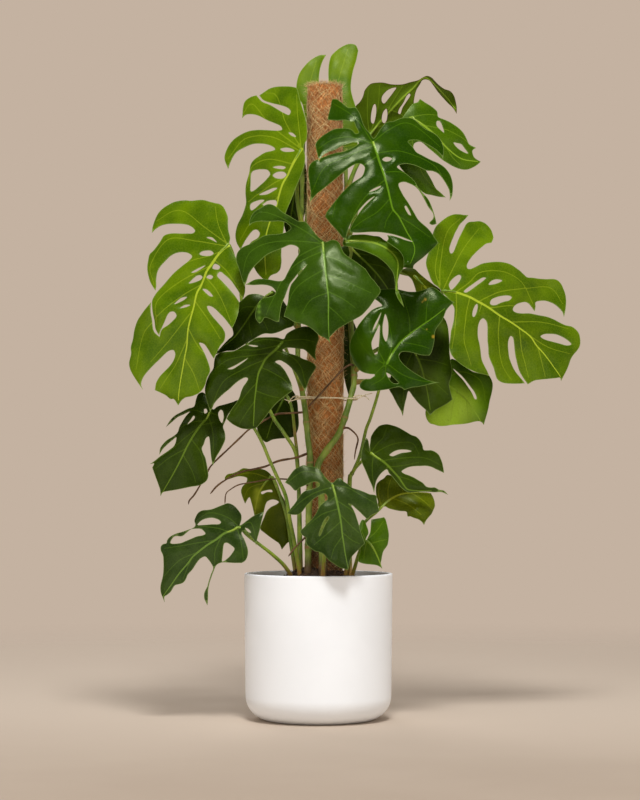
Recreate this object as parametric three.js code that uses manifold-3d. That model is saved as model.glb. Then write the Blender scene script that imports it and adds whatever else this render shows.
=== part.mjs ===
// A climbing monstera in a white pot: two handfuls of slit leaves on long stalks, tied to a coir pole.
// Millimetres, +Z up, the front of the plant towards -Y, the origin in the middle of the pot's underside.
import * as THREE from "three";
import { mergeVertices } from "three/addons/utils/BufferGeometryUtils.js";
import Module from "manifold-3d";

const wasm = await Module();
wasm.setup();

// Driving dimensions
const POT_DIAMETER = 280;
const POT_HEIGHT = 275;
const POT_WALL = 6;
const POT_FLOOR = 9;
const POT_BOTTOM_ROUND = 46;
const POT_DRAFT = 2.5;
const SOIL_EDGE_HEIGHT = 255;
const SOIL_MOUND_HEIGHT = 285;
const SOIL_SLOPE = [[26, 0], [40, 4], [56, 14], [80, 23], [108, 28]]; // radius, drop below the mound's top
const SOIL_LUMP = 2;
const POLE_TOP = 1200;
const POLE_BOTTOM = 24;
const POLE_HOLE_RADIUS = 36;
const CORE_RADIUS = 11;
const BLADE_THICKNESS = 1.0;
const KEEL_HEIGHT = 2.2;
const STALK_RADIUS = 4.2;
const STALK_TIP_RADIUS = 2.1;
const STALK_RUN = 14;
const ROOT_DEPTH = 226;
const CLEARANCE = 0.35;

// The leaves, stalks, stems and roots are drawn on a front elevation, the plane Y = 0, with a depth for each
// point. A point lies on the line from an eye 4 m in front of the pole through its place on the elevation.
const EYE = new THREE.Vector3(3, -4000, 447);

// How finely the drawn curves are cut up
const OUTLINE_STEP = 4;
const OUTLINE_TOLERANCE = 1.3;
const BLADE_GRID = 40;
const KEEL_STEP = 32;
const KEEL_MARGIN = 2.5;
const LIMB_STEP = 38;
const LIMB_SIDES = 5;
const POT_SIDES = 44;
const HOLE_SIDES = 24;
const CORE_SIDES = 10;
const CORE_STEP = 120;
const SLIVER = 1e-6;

const COLOURS = {
  pot: { color: 0xf1efe9, roughness: 0.5 },
  soil: { color: 0x2b211a, roughness: 0.95 },
  coir: { color: 0x6b4a2f, roughness: 0.95 },
  wood: { color: 0xb99a6b, roughness: 0.8 },
  raffia: { color: 0xd8c8a0, roughness: 0.8 },
  stem: { color: 0x6f8f3c, roughness: 0.5 },
  root: { color: 0x7a5a3c, roughness: 0.85 },
  leaf: { color: 0x3d6b2a, roughness: 0.4 },
};

// Each leaf has "x z" points along its edge, with "!" after a pointed one, its holes and its midrib.
// face is the depth of the blade at the top of the midrib, and its slope across and up.
// bow bends the tip back and cup bends the sides back, both in mm at 100 mm from the top of the midrib.
// A bend [x, z, reach, depth] moves the blade round a point. The points of a stalk are "x y z".
const LEAVES = {
  leaf_crown_back: {
    edge: `20 1122, 22 1142, 21 1170, 20 1200, 19 1225, 20 1243, 24 1259, 32 1268, 44 1277, 58 1282,
      71 1279, 76 1269 !, 72 1250, 66 1230, 62 1205, 63 1188, 71 1162, 78 1138, 78 1112,
      73 1082, 62 1056, 46 1030, 28 1004 !, 14 1026, 0 1056, -10 1088, -18 1118, -26 1146,
      -31 1167, -38 1178, -42 1194, -41 1209, -36 1225, -27 1238, -14 1251, 1 1260, 15 1262 !,
      9 1252, 4 1238, 1 1218, 2 1198, 6 1168, 13 1138`,
    midrib: `20 1112, 22 1080, 25 1045, 28 1012`,
    stalk: `20 38 985, 24 78 1040, 20 101 1112`,
    face: [99, 0.03, 0.2], bow: 3, cup: 9,
  },
  leaf_upper_left: {
    edge: `-29 1086, -23 1098, -22 1117, -25 1140, -31 1161, -37 1180, -41 1198 !, -52 1200,
      -66 1201, -83 1201, -95 1198, -106 1191, -114 1184 !, -106 1175, -90 1169, -73 1165,
      -60 1160, -53 1153, -56 1146, -66 1150, -80 1158, -94 1166, -108 1172, -119 1184 !,
      -130 1180, -140 1172, -145 1158, -147 1141 !, -141 1147, -130 1148, -116 1145, -98 1136,
      -83 1130, -73 1125, -70 1119, -77 1117, -98 1117, -115 1117, -134 1114, -151 1106,
      -165 1095, -174 1081, -179 1062, -173 1043 !, -169 1054, -158 1074, -144 1084, -128 1091,
      -114 1092, -99 1090, -87 1085, -83 1080, -89 1077, -101 1074, -113 1067, -124 1059,
      -130 1050, -133 1036, -139 1012, -140 995, -140 975, -144 955, -154 935, -158 918,
      -157 903, -150 889 !, -141 905, -131 918, -124 925, -117 926, -112 920, -115 911,
      -128 903, -137 893 !, -130 880, -126 862, -118 846, -107 834, -97 828 !, -91 838,
      -79 843 !, -73 850, -71 864, -72 880, -69 905, -66 925, -64 950, -56 975, -45 1000,
      -34 1025, -27 1050, -26 1068`,
    holes: [
      `-58 1113, -50 1112, -44 1105, -52 1107`,
      `-73 1081, -63 1084, -51 1081, -46 1077, -56 1075, -67 1076`,
      `-86 1045, -73 1048, -63 1046, -68 1042`,
      `-87 1030, -79 1036, -67 1037, -62 1032, -69 1025, -81 1025`,
      `-127 1038, -99 1041, -92 1033, -98 1024, -110 1013, -129 1000, -130 1015`,
      `-115 995, -89 1006, -79 1006, -86 1001, -101 995`,
      `-131 976, -116 984, -105 984, -111 978, -127 963`,
      `-107 974, -99 982, -83 983, -80 979, -82 972`,
    ],
    midrib: `-32 1081, -45 1058, -57 1035, -67 1015, -74 996, -81 970, -92 940, -99 915, -102 880,
      -99 840`,
    stalk: `-30 10 930, -40 -3 985, -38 -24 1040, -33 -44 1079`,
    face: [-50, -0.56, 0.4], bow: 4.5, cup: 7.5,
  },
  leaf_upper_right: {
    edge: `97 1101, 88 1096, 79 1108, 72 1128, 69 1147, 71 1162, 78 1170, 84 1181, 88 1194, 98 1205,
      110 1208, 124 1208, 137 1205, 152 1204, 163 1205, 176 1209, 189 1213, 198 1219, 206 1222,
      214 1219, 221 1212, 228 1205, 239 1197, 251 1192, 258 1184, 262 1173, 265 1160,
      264 1146 !, 257 1158, 246 1169, 235 1181, 225 1193, 216 1206, 210 1213, 203 1215,
      197 1213, 193 1205, 187 1195, 183 1183, 181 1168, 188 1150, 191 1130, 185 1112, 170 1098,
      150 1090, 125 1087, 108 1092`,
    holes: [
      `101 1131, 100 1142, 103 1160, 107 1167, 110 1160, 109 1142, 105 1129`,
      `122 1132, 121 1142, 124 1153, 129 1158, 131 1149, 130 1136, 126 1130`,
      `121 1171, 121 1181, 130 1192, 139 1197, 148 1198, 143 1190, 133 1177, 125 1168`,
      `173 1187, 168 1182, 161 1168, 154 1157, 152 1149, 156 1147, 160 1159, 167 1171, 175 1184`,
    ],
    midrib: `97 1106, 116 1130, 138 1155, 160 1178, 180 1197, 203 1218, 240 1184, 262 1156`,
    stalk: `53 17 975, 61 30 1020, 81 32 1070, 96 36 1104`,
    face: [40, 0.13, -0.36], bow: 3, cup: -6, side: -1, bends: [[250, 1165, 40, 50]],
  },
  leaf_upper_right_rear: {
    edge: `161 1142 !, 170 1155, 180 1167, 189 1170, 193 1176 !, 204 1169, 215 1163, 227 1153,
      229 1143, 237 1138, 250 1132, 264 1123, 275 1112, 283 1099, 288 1090, 301 1083 !,
      294 1078, 294 1070, 298 1063, 309 1056 !, 301 1049, 292 1044, 283 1041, 270 1042,
      257 1047, 246 1054, 236 1061, 226 1070, 211 1083, 195 1095, 183 1091, 184 1075, 195 1056,
      205 1039, 216 1021, 225 1005, 233 998, 243 988 !, 230 989, 216 992, 203 995, 189 1007,
      172 1025, 155 1046, 144 1075, 142 1105, 150 1128`,
    holes: [
      `226 1134, 231 1134, 235 1127, 239 1112, 233 1117, 226 1126`,
      `258 1093, 266 1092, 273 1090, 279 1082, 285 1072, 277 1075, 266 1083`,
    ],
    midrib: `175 1141, 200 1126, 224 1106, 244 1084, 272 1062, 303 1056`,
    stalk: `53 16 1000, 80 5 1060, 130 -9 1112, 174 -30 1140`,
    face: [-36, 0.26, 0.36], bow: 13.5, cup: 15,
  },
  leaf_upper_front: {
    edge: `105 1101, 98 1112, 90 1122, 84 1135, 79 1149, 71 1162 !, 57 1161, 47 1168, 36 1176 !,
      26 1176, 22 1162, 19 1147, 17 1137 !, 33 1136, 50 1137, 60 1135, 67 1135, 72 1124,
      77 1113, 71 1111, 65 1117, 57 1121, 41 1121, 26 1118, 11 1109, -1 1099, -6 1091, -4 1079,
      1 1057 !, 9 1069, 18 1075, 30 1079, 44 1087, 56 1091, 69 1094, 77 1092, 72 1087, 65 1083,
      50 1077, 32 1073, 14 1067, -2 1060, -14 1053, -19 1043, -19 1029, -17 1014, -15 998,
      -17 979 !, -5 993, 11 1006, 29 1021, 50 1038, 62 1047, 72 1052, 82 1052, 88 1046, 87 1037,
      83 1028, 75 1022, 62 1014, 47 1000, 36 987, 23 971, 15 959, 13 951 !, 23 938, 36 924,
      47 911, 58 901 !, 53 911, 55 922 !, 59 933, 66 947, 75 961, 84 972, 94 982, 107 990,
      96 980, 86 970, 77 958, 68 944, 61 930, 59 922 !, 75 921, 95 922, 110 922, 123 921,
      140 918, 155 914, 167 910, 180 905, 166 907, 154 911, 140 915, 131 916 !, 133 909,
      129 904 !, 141 896, 153 887, 160 876, 161 863, 162 854 !, 172 852, 181 851 !, 184 858,
      190 865, 197 871, 204 877, 214 886, 221 893, 228 901 !, 221 912, 215 922, 208 930,
      201 936, 190 946, 181 961, 171 978, 160 994, 152 1012, 162 1017, 174 1014, 184 1009,
      192 1001, 201 985, 209 970, 219 957, 219 948, 212 940, 217 936, 226 938 !, 223 950,
      217 967, 209 985, 198 998, 190 1008, 184 1019, 174 1029, 162 1038, 150 1047, 162 1052,
      177 1051, 190 1047, 206 1040, 219 1039, 230 1034, 239 1024, 246 1013, 250 1002, 250 990,
      249 981 !, 254 990, 257 1002, 257 1015, 252 1030, 242 1044, 231 1053, 215 1061, 198 1070,
      187 1076, 180 1085, 171 1095, 180 1098, 192 1097, 204 1092, 216 1086, 227 1079, 235 1069,
      238 1060 !, 240 1082, 235 1096, 227 1106, 216 1114, 203 1121, 191 1132, 180 1140,
      168 1142, 157 1141, 143 1135, 130 1132, 120 1122, 111 1108`,
    holes: [
      `97 999, 104 1004, 119 1010, 117 1007, 106 1001`,
      `122 1061, 129 1065, 140 1062, 136 1058, 128 1057`,
      `164 970, 167 972, 176 954, 171 956`,
    ],
    midrib: `104 1093, 111 1072, 119 1047, 127 1021, 133 999, 138 977, 142 964, 152 952, 160 938,
      170 920, 180 904, 183 885, 176 862`,
    stalk: `55 16 900, 76 -39 975, 95 -86 1050, 103 -133 1091`,
    face: [-140, 0.13, 0.49], bow: 10.5, cup: 12, bends: [[172, 862, 30, -50], [10, 1150, 30, 20]],
  },
  leaf_hook: {
    edge: `50 912, 60 916, 75 917, 90 917, 105 915, 117 914, 126 907, 140 899, 154 893, 163 887,
      165 875, 165 862, 161 852, 156 845, 153 835, 151 823, 152 811, 157 796, 163 778 !,
      152 792, 147 806, 146 827, 143 841, 138 850, 129 861, 117 871, 102 879, 87 886, 71 891,
      60 894, 47 897`,
    midrib: `52 904, 80 905, 110 900, 135 886, 150 866, 150 840, 149 810`,
    stalk: `59 14 800, 52 -30 830, 54 -90 856, 62 -140 880, 58 -176 901`,
    face: [-185, 0.08, 0.2], bow: 4.5, cup: 6,
  },
  leaf_centre_front: {
    edge: `9 906, -5 918, -16 932, -25 941, -37 943, -55 953, -69 960, -80 969, -89 974, -99 975,
      -108 971, -118 965, -126 957, -131 946, -132 934 !, -126 939, -112 942, -92 942, -67 942,
      -57 937, -53 930, -61 922, -75 919, -89 918, -103 914, -117 906, -131 899, -145 892,
      -154 882, -156 868, -151 851, -147 834, -142 820 !, -138 830, -134 841, -125 854,
      -112 867, -99 878, -85 886, -75 890, -64 894, -53 897, -41 894, -36 887, -38 880, -45 869,
      -52 859, -60 845, -68 831, -80 829, -95 832, -110 834, -124 832, -140 823 !, -126 822,
      -107 822, -95 820, -87 816, -82 808, -86 802, -97 798, -107 795, -114 786, -119 774,
      -121 763, -119 755, -113 748 !, -108 753, -104 760, -93 757, -83 752, -75 751 !, -74 762,
      -72 775, -69 787, -64 799, -60 811, -55 824, -46 835, -34 848, -22 861, -32 847, -44 833,
      -53 822, -57 806, -58 792, -60 781, -64 769, -66 761 !, -57 757, -47 751, -35 748,
      -21 743, -12 737, -5 731, 3 724, 12 720, 19 715, 26 705 !, 22 714, 21 721, 26 727, 36 737,
      48 744, 58 750, 71 757, 83 764, 91 772, 98 780, 107 793, 114 801, 117 806 !, 117 813,
      112 820, 107 828, 100 836, 95 844, 89 852, 80 859, 69 867, 58 874, 49 881, 44 890, 40 900,
      33 906, 24 907, 15 904`,
    midrib: `8 901, 10 880, 12 860, 13 848, 15 833, 17 815, 19 795, 19 770, 19 745, 20 722`,
    stalk: `-37 9 770, -34 -52 800, -12 -125 856, 6 -200 899`,
    face: [-206, -0.07, 0.56], bow: 12, cup: 13.5, fold: 0.06,
  },
  leaf_left: {
    edge: `-170 901, -168 911, -171 925, -172 938, -172 950, -176 961, -181 970, -188 976, -197 978,
      -207 980, -219 983, -230 983, -242 982, -254 983, -265 982, -276 979, -287 972, -296 965,
      -305 956, -312 944, -315 932, -316 920 !, -309 927, -300 933, -288 936, -272 937,
      -257 937, -247 935, -239 930, -235 924, -240 920, -250 920, -263 920, -275 920, -286 918,
      -294 914, -299 906, -305 897, -313 887, -321 879, -324 866, -325 852, -324 839, -321 827,
      -311 811 !, -310 820, -310 831, -306 845, -300 857, -292 867, -283 876, -272 882,
      -260 884, -248 882, -241 876, -247 868, -257 860, -271 848, -283 836, -294 824, -303 814,
      -310 804, -316 791, -316 777, -315 764, -313 751, -310 738, -302 725 !, -299 735,
      -295 745, -291 754, -287 763, -282 769, -275 770, -270 765, -270 760, -277 752, -286 744,
      -297 736, -301 722 !, -311 731, -316 743, -318 757, -319 771, -318 788 !, -324 780,
      -332 770, -343 754, -348 738, -352 720, -356 703, -355 690, -359 672, -356 658, -346 641,
      -332 621 !, -336 632, -332 645, -321 659, -311 671, -301 681, -292 690, -284 696,
      -276 697, -273 690, -276 680, -284 668, -294 656, -303 645, -309 634, -311 621 !,
      -300 616, -290 611, -281 604, -275 604, -267 592 !, -261 601, -252 607, -241 609,
      -229 614 !, -221 622, -215 632, -211 645, -206 657, -209 672, -215 687, -221 699,
      -227 711, -218 709, -211 700, -205 690, -199 681 !, -192 694, -186 706, -179 715,
      -177 728, -182 739, -188 746, -194 753, -201 761, -208 771, -211 780, -204 780, -196 775,
      -188 767, -181 760, -172 749, -164 738 !, -158 751, -154 764, -152 778, -151 789 !,
      -159 801, -170 814, -182 827, -192 838, -187 846, -178 840, -167 830, -157 816, -149 804,
      -143 796 !, -140 808, -140 822, -143 838, -149 856, -157 873, -165 887, -168 895`,
    holes: [
      `-213 912, -203 912, -194 903, -204 908`,
      `-227 881, -221 886, -206 887, -200 882, -206 878, -221 878`,
      `-242 845, -229 853, -216 859, -221 854, -234 846`,
      `-247 825, -234 838, -225 840, -221 836, -228 830`,
      `-274 785, -262 796, -250 798, -255 793`,
      `-263 777, -254 783, -244 783, -252 779`,
      `-202 854, -198 862, -188 857, -190 851, -198 851`,
      `-213 836, -207 840, -200 836, -205 832`,
      `-220 813, -211 811, -200 799, -206 799`,
    ],
    midrib: `-170 897, -181 889, -198 869, -213 845, -222 822, -230 805, -237 776, -246 738, -250 705,
      -256 675, -262 637, -266 602`,
    stalk: `-33 -12 262, -36 -18 400, -40 -23 480, -46 -26 509, -67 -31 542, -87 -38 572,
      -116 -44 640, -138 -48 720, -146 -53 790, -152 -64 842, -169 -101 896`,
    face: [-109, -0.3, 0.43], bow: 6, cup: 9, bends: [[-305, 770, 34, -12]],
  },
  leaf_left_inner: {
    edge: `-88 811, -95 804, -103 801, -113 804, -124 804, -133 802, -140 797, -146 791, -153 785,
      -158 772, -160 757, -164 742, -163 727, -172 718, -184 704, -199 688 !, -186 692,
      -174 695, -160 696, -149 702, -138 709, -128 715, -116 722, -102 728, -88 728, -74 732,
      -62 738, -48 744, -46 752, -52 768, -62 784, -74 800`,
    midrib: `-88 807, -104 796, -118 779, -132 758, -146 738, -162 720, -190 696`,
    stalk: `-36 9 735, -58 -13 765, -78 -48 793, -87 -82 806`,
    face: [-86, -0.17, 0.3], bow: 6, cup: 9,
  },
  leaf_left_middle: {
    edge: `-66 718, -78 721, -92 722, -106 722, -118 721, -128 715, -138 708, -149 702, -160 696,
      -174 694, -186 691, -194 685, -198 674, -200 662, -207 650, -212 636, -215 620, -213 602,
      -209 588, -205 579 !, -202 588, -199 596, -192 604, -181 614, -170 623, -160 632,
      -149 640, -139 645, -134 643, -137 636, -143 628, -148 618, -151 608, -156 598, -164 587,
      -169 577, -174 566 !, -165 558, -157 553, -148 549, -138 547, -128 547, -120 548,
      -114 553, -107 562, -98 573, -89 585, -80 596, -70 605, -60 612, -49 620 !, -51 632,
      -55 642, -60 652, -65 660, -72 668, -82 675, -74 678, -65 674, -57 668, -48 659, -41 650,
      -36 640, -31 630, -25 617 !, -22 628, -18 640, -13 650, -8 658, -4 665 !, -9 671, -18 676,
      -29 680, -38 685, -48 689, -60 693, -68 697, -60 701, -48 701, -36 699, -28 698, -20 692,
      -12 684, -4 677 !, -6 690, -4 705, 1 719 !, -2 730, -10 738, -24 741, -38 738, -50 733,
      -60 727`,
    holes: [
      `-172 661, -160 667, -147 674, -137 680, -134 682, -140 676, -152 668, -164 661`,
      `-134 707, -125 707, -115 705, -124 704`,
    ],
    midrib: `-68 712, -80 698, -92 688, -101 679, -108 666, -114 654, -117 640, -119 622, -121 602,
      -122 575, -123 553`,
    stalk: `-31 -22 622, -40 -52 646, -52 -92 674, -66 -163 708`,
    face: [-172, -0.2, 0.36], bow: 7.5, cup: 10.5,
  },
  leaf_left_rear: {
    edge: `-100 522, -87 527, -75 529, -60 530, -46 533, -40 543, -37 556, -38 575, -40 598, -46 616,
      -60 630, -80 634, -100 626, -114 606, -119 580, -118 556, -112 536`,
    midrib: `-62 612, -76 585, -88 560, -98 530`,
    stalk: `-36 -4 262, -37 -10 400, -39 -13 480, -44 -12 533, -50 0 585, -60 35 610`,
    face: [43, -0.1, 0.17], bow: 4.5, cup: 7.5,
  },
  leaf_lower_left: {
    edge: `-199 585, -192 590, -178 594, -164 598, -152 602, -148 596, -158 590, -165 583, -171 575,
      -177 562, -181 552, -178 542, -177 528, -182 515, -188 504, -194 494, -200 478 !,
      -203 490, -205 506, -206 520, -208 533, -213 530, -217 519, -221 511, -219 502, -215 494,
      -212 482, -210 470, -209 459, -212 450, -219 444, -228 440, -240 438, -258 434, -275 431,
      -288 429, -295 427, -299 420 !, -300 432, -303 441, -307 452, -311 463, -315 474 !,
      -312 482, -320 481 !, -310 488, -300 496, -290 503, -282 509, -275 515, -271 523,
      -270 532, -278 526, -287 518, -296 509, -302 499 !, -301 510, -296 518, -287 527,
      -276 534, -268 541, -264 552, -257 563, -250 573, -244 580, -256 575, -268 570, -278 561,
      -289 551 !, -282 563, -273 573, -260 580, -247 586, -236 590, -232 603, -228 613,
      -220 617, -213 612, -208 600, -205 590`,
    holes: [
      `-190 577, -185 584, -181 580, -180 569, -183 559, -187 564`,
      `-248 556, -242 564, -236 572, -234 569, -238 563`,
      `-217 585, -213 586, -211 580, -216 577`,
    ],
    midrib: `-205 580, -212 566, -221 556, -231 542, -240 528, -248 514, -256 498, -264 482, -276 460,
      -296 426`,
    stalk: `-34 -36 262, -44 -50 325, -54 -61 375, -62 -68 420, -76 -74 452, -93 -80 489,
      -105 -84 518, -122 -87 549, -145 -87 580, -175 -87 588, -203 -97 580`,
    face: [-102, -0.2, 0.33], bow: 9, cup: 7.5,
  },
  leaf_lowest_left: {
    edge: `-149 366, -146 376, -146 385, -151 393, -157 400, -164 405, -172 407, -180 404, -190 400,
      -200 396, -210 394, -219 393, -227 389, -232 382, -235 374, -233 366, -237 361, -248 357,
      -259 353, -270 350, -280 345, -287 338, -289 332, -295 330, -299 325, -299 318, -295 308,
      -294 296, -294 284, -295 272, -297 261, -299 250, -299 241, -297 233, -291 220 !,
      -292 230, -286 234, -279 240, -275 247, -271 252, -263 254, -256 257, -251 264, -248 272,
      -239 282, -233 291, -227 299, -221 304, -214 306, -208 300, -203 293, -199 284, -203 272,
      -207 260, -210 249, -215 238, -215 227, -209 214 !, -208 228, -208 242, -206 255,
      -202 267, -198 278, -193 290, -183 295, -172 295, -157 294, -145 294 !, -138 299,
      -134 309, -134 320, -137 330, -141 340, -146 351, -143 356, -134 350, -127 344, -122 337,
      -118 328 !, -116 340, -111 356, -108 370, -103 391 !, -112 388, -124 382, -136 374`,
    holes: [
      `-229 366, -223 373, -215 377, -202 379, -193 377, -187 374, -184 370, -188 367,
        -202 367, -216 366`,
      `-281 332, -278 340, -272 345, -259 345, -250 352, -242 358, -232 359, -222 358,
        -216 353, -214 349, -220 346, -230 344, -241 340, -252 336, -263 332`,
      `-178 331, -173 332, -166 328, -159 321, -163 313, -171 304, -182 297, -182 306,
        -181 316, -180 325`,
      `-139 361, -132 358, -128 352, -134 354`,
    ],
    midrib: `-150 362, -163 355, -177 350, -195 337, -210 328, -227 315, -239 305, -248 293, -262 276,
      -280 250, -295 230`,
    stalk: `-50 -30 262, -63 -44 287, -86 -59 309, -109 -73 327, -130 -82 343, -149 -93 361`,
    face: [-96, -0.17, 0.36], bow: 10.5, cup: 10.5,
  },
  leaf_low_left_rear: {
    edge: `-178 450 !, -177 457, -172 462, -162 464, -152 468, -143 473, -130 472, -112 472, -98 468,
      -88 458, -80 441, -72 426, -64 412, -60 395, -57 364, -54 349, -50 336 !, -58 332,
      -69 319 !, -74 330, -82 336, -92 343, -101 350, -110 358, -108 368, -103 380, -98 391,
      -90 399, -80 404, -75 409, -82 413, -90 413, -98 408, -104 388 !, -112 387, -121 381 !,
      -124 395, -127 408, -131 418, -139 406 !, -144 418, -147 430, -144 439, -137 447,
      -136 455, -150 458, -165 454`,
    holes: [
      `-109 428, -107 424, -97 428, -87 428, -89 432, -100 431`,
    ],
    midrib: `-88 458, -100 446, -112 428, -118 405, -121 388`,
    stalk: `-42 8 262, -52 10 330, -60 11 380, -72 18 420, -87 32 456`,
    face: [36, -0.08, 0.2], bow: 4.5, cup: 7.5,
  },
  leaf_front_bottom: {
    edge: `26 446, 18 451, 11 459, 5 467, -1 473, -8 476, -18 477, -28 479, -36 476, -45 471,
      -54 461, -64 447 !, -54 441, -44 431, -34 437, -24 441, -13 446, -4 447, 2 444, 1 439,
      -6 436, -14 433, -24 431, -32 425, -39 416, -46 406, -53 398, -60 388 !, -50 386, -40 386,
      -33 389, -27 396, -22 403, -16 409, -8 416, 0 421, 10 425, 16 422, 17 415, 12 410, 3 402,
      -5 387, -12 377, -21 368, -29 360, -35 355 !, -32 348, -27 344, -23 341, -24 334, -22 329,
      -15 322, -6 316, 3 314, 10 310, 15 304, 21 298, 30 292, 39 286, 48 283, 56 281 !, 58 288,
      60 298, 63 305, 69 312, 76 319, 83 326, 88 331, 86 337, 83 346, 80 356, 77 367, 73 379,
      69 390, 64 399, 57 406, 64 403, 71 397, 79 390, 87 382, 94 375 !, 98 382, 104 386,
      111 389, 116 392 !, 113 404, 111 414, 109 422, 97 424, 88 428, 76 433, 64 437, 56 443,
      48 448, 42 454, 36 453, 30 448`,
    holes: [
      `19 382, 20 378, 15 370, 10 361, 6 351, 2 345, 1 349, 4 358, 8 368, 13 377`,
    ],
    midrib: `26 442, 32 423, 36 405, 40 386, 43 368, 45 349, 48 330, 50 315, 53 300, 56 285`,
    stalk: `8 -72 262, 12 -90 320, 19 -107 400, 26 -132 440`,
    face: [-137, 0.03, 0.36], bow: 10.5, cup: 12,
  },
  leaf_low_right: {
    edge: `98 505, 97 513, 98 522, 99 531, 103 539, 108 546, 115 553, 123 556, 131 557, 140 555,
      150 551, 158 546, 167 540, 176 535, 184 533, 190 529, 195 523, 198 516, 200 508, 206 507,
      213 507, 220 504, 227 498, 231 491, 235 482, 237 473, 238 464 !, 232 467, 223 471,
      214 475, 204 477, 193 477, 183 477, 174 476, 166 473, 158 467, 164 463, 173 460, 182 456,
      190 451, 198 446, 205 439, 213 437, 222 437, 229 433, 238 431, 246 423 !, 234 428,
      222 428, 208 429, 195 429, 182 428, 170 428, 158 436, 148 448, 139 459, 134 464, 130 471,
      124 468, 117 461, 111 451, 108 440, 106 426 !, 102 440, 96 453, 89 469, 83 482, 81 490,
      81 502, 84 513, 87 523, 91 530 !, 94 525, 96 516`,
    holes: [
      `135 498, 139 502, 146 506, 154 508, 162 508, 170 507, 176 505, 168 503, 158 502,
        149 499, 141 496`,
    ],
    midrib: `100 501, 110 494, 125 484, 140 469, 153 455, 161 443, 170 433, 190 431, 215 431`,
    stalk: `60 -14 262, 60 -19 440, 67 -35 468, 82 -67 486, 91 -87 497, 99 -105 502`,
    face: [-109, 0.17, 0.33], bow: 9, cup: 9,
  },
  leaf_low_right_under: {
    edge: `117 398, 113 403, 113 411, 110 421, 109 434, 111 444, 117 450, 124 454, 130 460, 140 458,
      152 450, 162 440, 172 430, 190 428, 205 428, 214 427 !, 218 420, 221 411, 222 402,
      219 394, 215 387, 209 381, 203 374, 199 366 !, 195 372, 189 376, 180 379, 173 382,
      168 382, 166 391, 154 392, 143 394, 133 397, 126 401`,
    midrib: `118 398, 132 411, 147 420, 161 425, 175 427, 195 427, 212 426`,
    stalk: `50 -22 262, 62 -34 320, 84 -48 366, 116 -70 396`,
    face: [-73, 0.17, 0.17], bow: 6, cup: 9, bends: [[190, 385, 35, -23]],
  },
  leaf_lowest_right: {
    edge: `90 336, 95 345, 98 352, 99 362, 100 376 !, 112 378, 124 380 !, 127 375, 129 367, 131 358,
      133 348, 133 338, 131 328, 127 322, 123 316, 121 308, 120 300, 119 294, 122 284 !,
      116 288, 110 290, 100 291, 90 292, 82 294, 76 297, 76 306, 79 314, 80 326, 76 336, 72 348,
      76 360, 79 369, 83 376, 88 374, 91 366, 94 357, 95 350, 91 342`,
    midrib: `90 337, 98 330, 106 318, 113 304, 119 290`,
    stalk: `63 -26 262, 70 -44 290, 78 -63 315, 89 -79 335`,
    face: [-82, 0.2, 0.25], bow: 7.5, cup: 12,
  },
  leaf_right: {
    edge: `232 814, 226 819, 220 823, 214 832, 210 842, 206 852, 204 862, 206 873, 210 884, 214 896,
      216 910, 219 923, 224 933, 230 939, 237 945, 246 951, 257 955, 269 956, 278 955,
      287 955 !, 281 948, 275 942, 269 936, 265 929, 260 920, 256 910, 252 899, 250 891,
      251 884, 254 882, 258 886, 262 896, 266 907, 271 918, 276 928, 281 937, 287 941, 297 942,
      306 943, 315 940, 323 934, 329 927, 332 919, 333 911, 329 901 !, 319 899, 310 892,
      301 884, 292 875, 286 866, 283 859, 284 853, 289 852, 297 855, 310 861, 324 863, 340 864,
      353 863, 365 860, 375 855, 385 849, 391 843, 398 836, 408 835, 420 833, 434 832, 447 832,
      455 829, 461 822, 465 813, 469 803, 471 791, 470 779, 466 760 !, 463 769, 457 777,
      450 783, 441 787, 430 790, 419 790, 413 788, 413 780, 411 771 !, 406 779, 401 786,
      395 789, 386 788, 378 785, 372 779, 371 773, 376 769, 386 767, 401 767, 417 764, 433 761,
      446 756, 458 750, 470 745, 482 742, 490 735, 495 727, 497 716, 496 705, 492 697, 486 689,
      481 681, 476 671, 471 661, 466 651, 460 638 !, 458 644, 448 643, 436 642, 422 641,
      410 639, 398 632 !, 390 645, 384 657, 379 671, 376 685, 374 699, 372 712, 370 721,
      366 724, 363 720, 361 709, 362 695, 364 681, 369 668, 376 656, 384 645, 392 634 !,
      380 633, 366 633, 353 634, 345 637, 339 643, 335 652, 330 664, 326 675, 323 687, 322 700,
      321 714, 322 730, 322 743, 320 752, 314 758, 309 755, 305 747, 303 737, 303 723, 305 709,
      307 692, 310 677, 315 664, 320 655, 324 648 !, 312 651, 300 654, 288 660, 278 666,
      268 673, 258 681, 252 691, 250 704, 250 718, 251 732, 254 742, 257 754, 258 766, 258 778,
      252 789, 244 800, 238 806`,
    holes: [
      `249 821, 252 829, 260 837, 268 841, 272 838, 270 831, 265 824, 259 817, 253 813`,
      `277 809, 284 816, 294 823, 304 830, 313 835, 318 834, 312 828, 301 820, 290 812, 281 807`,
      `323 821, 327 827, 335 831, 344 831, 349 829, 342 825, 333 822`,
      `326 786, 329 793, 337 797, 348 800, 362 801, 368 798, 363 792, 355 790, 346 787,
        337 783, 329 783`,
      `294 762, 294 771, 298 782, 302 785, 303 779, 301 769, 297 761`,
      `422 723, 428 727, 438 728, 452 727, 464 722, 474 715, 480 708, 472 706, 458 710,
        444 714, 430 718`,
    ],
    midrib: `236 810, 259 808, 283 800, 304 789, 324 777, 344 763, 365 750, 381 739, 401 723, 413 706,
      425 692, 440 672, 458 646`,
    stalk: `63 6 690, 100 0 692, 145 -8 722, 190 -32 768, 224 -65 798, 236 -93 809`,
    face: [-96, 0.36, 0.4], bow: 6, cup: 7.5, bends: [[440, 800, 45, 23], [300, 930, 35, 16]],
  },
  leaf_right_inner: {
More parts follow.
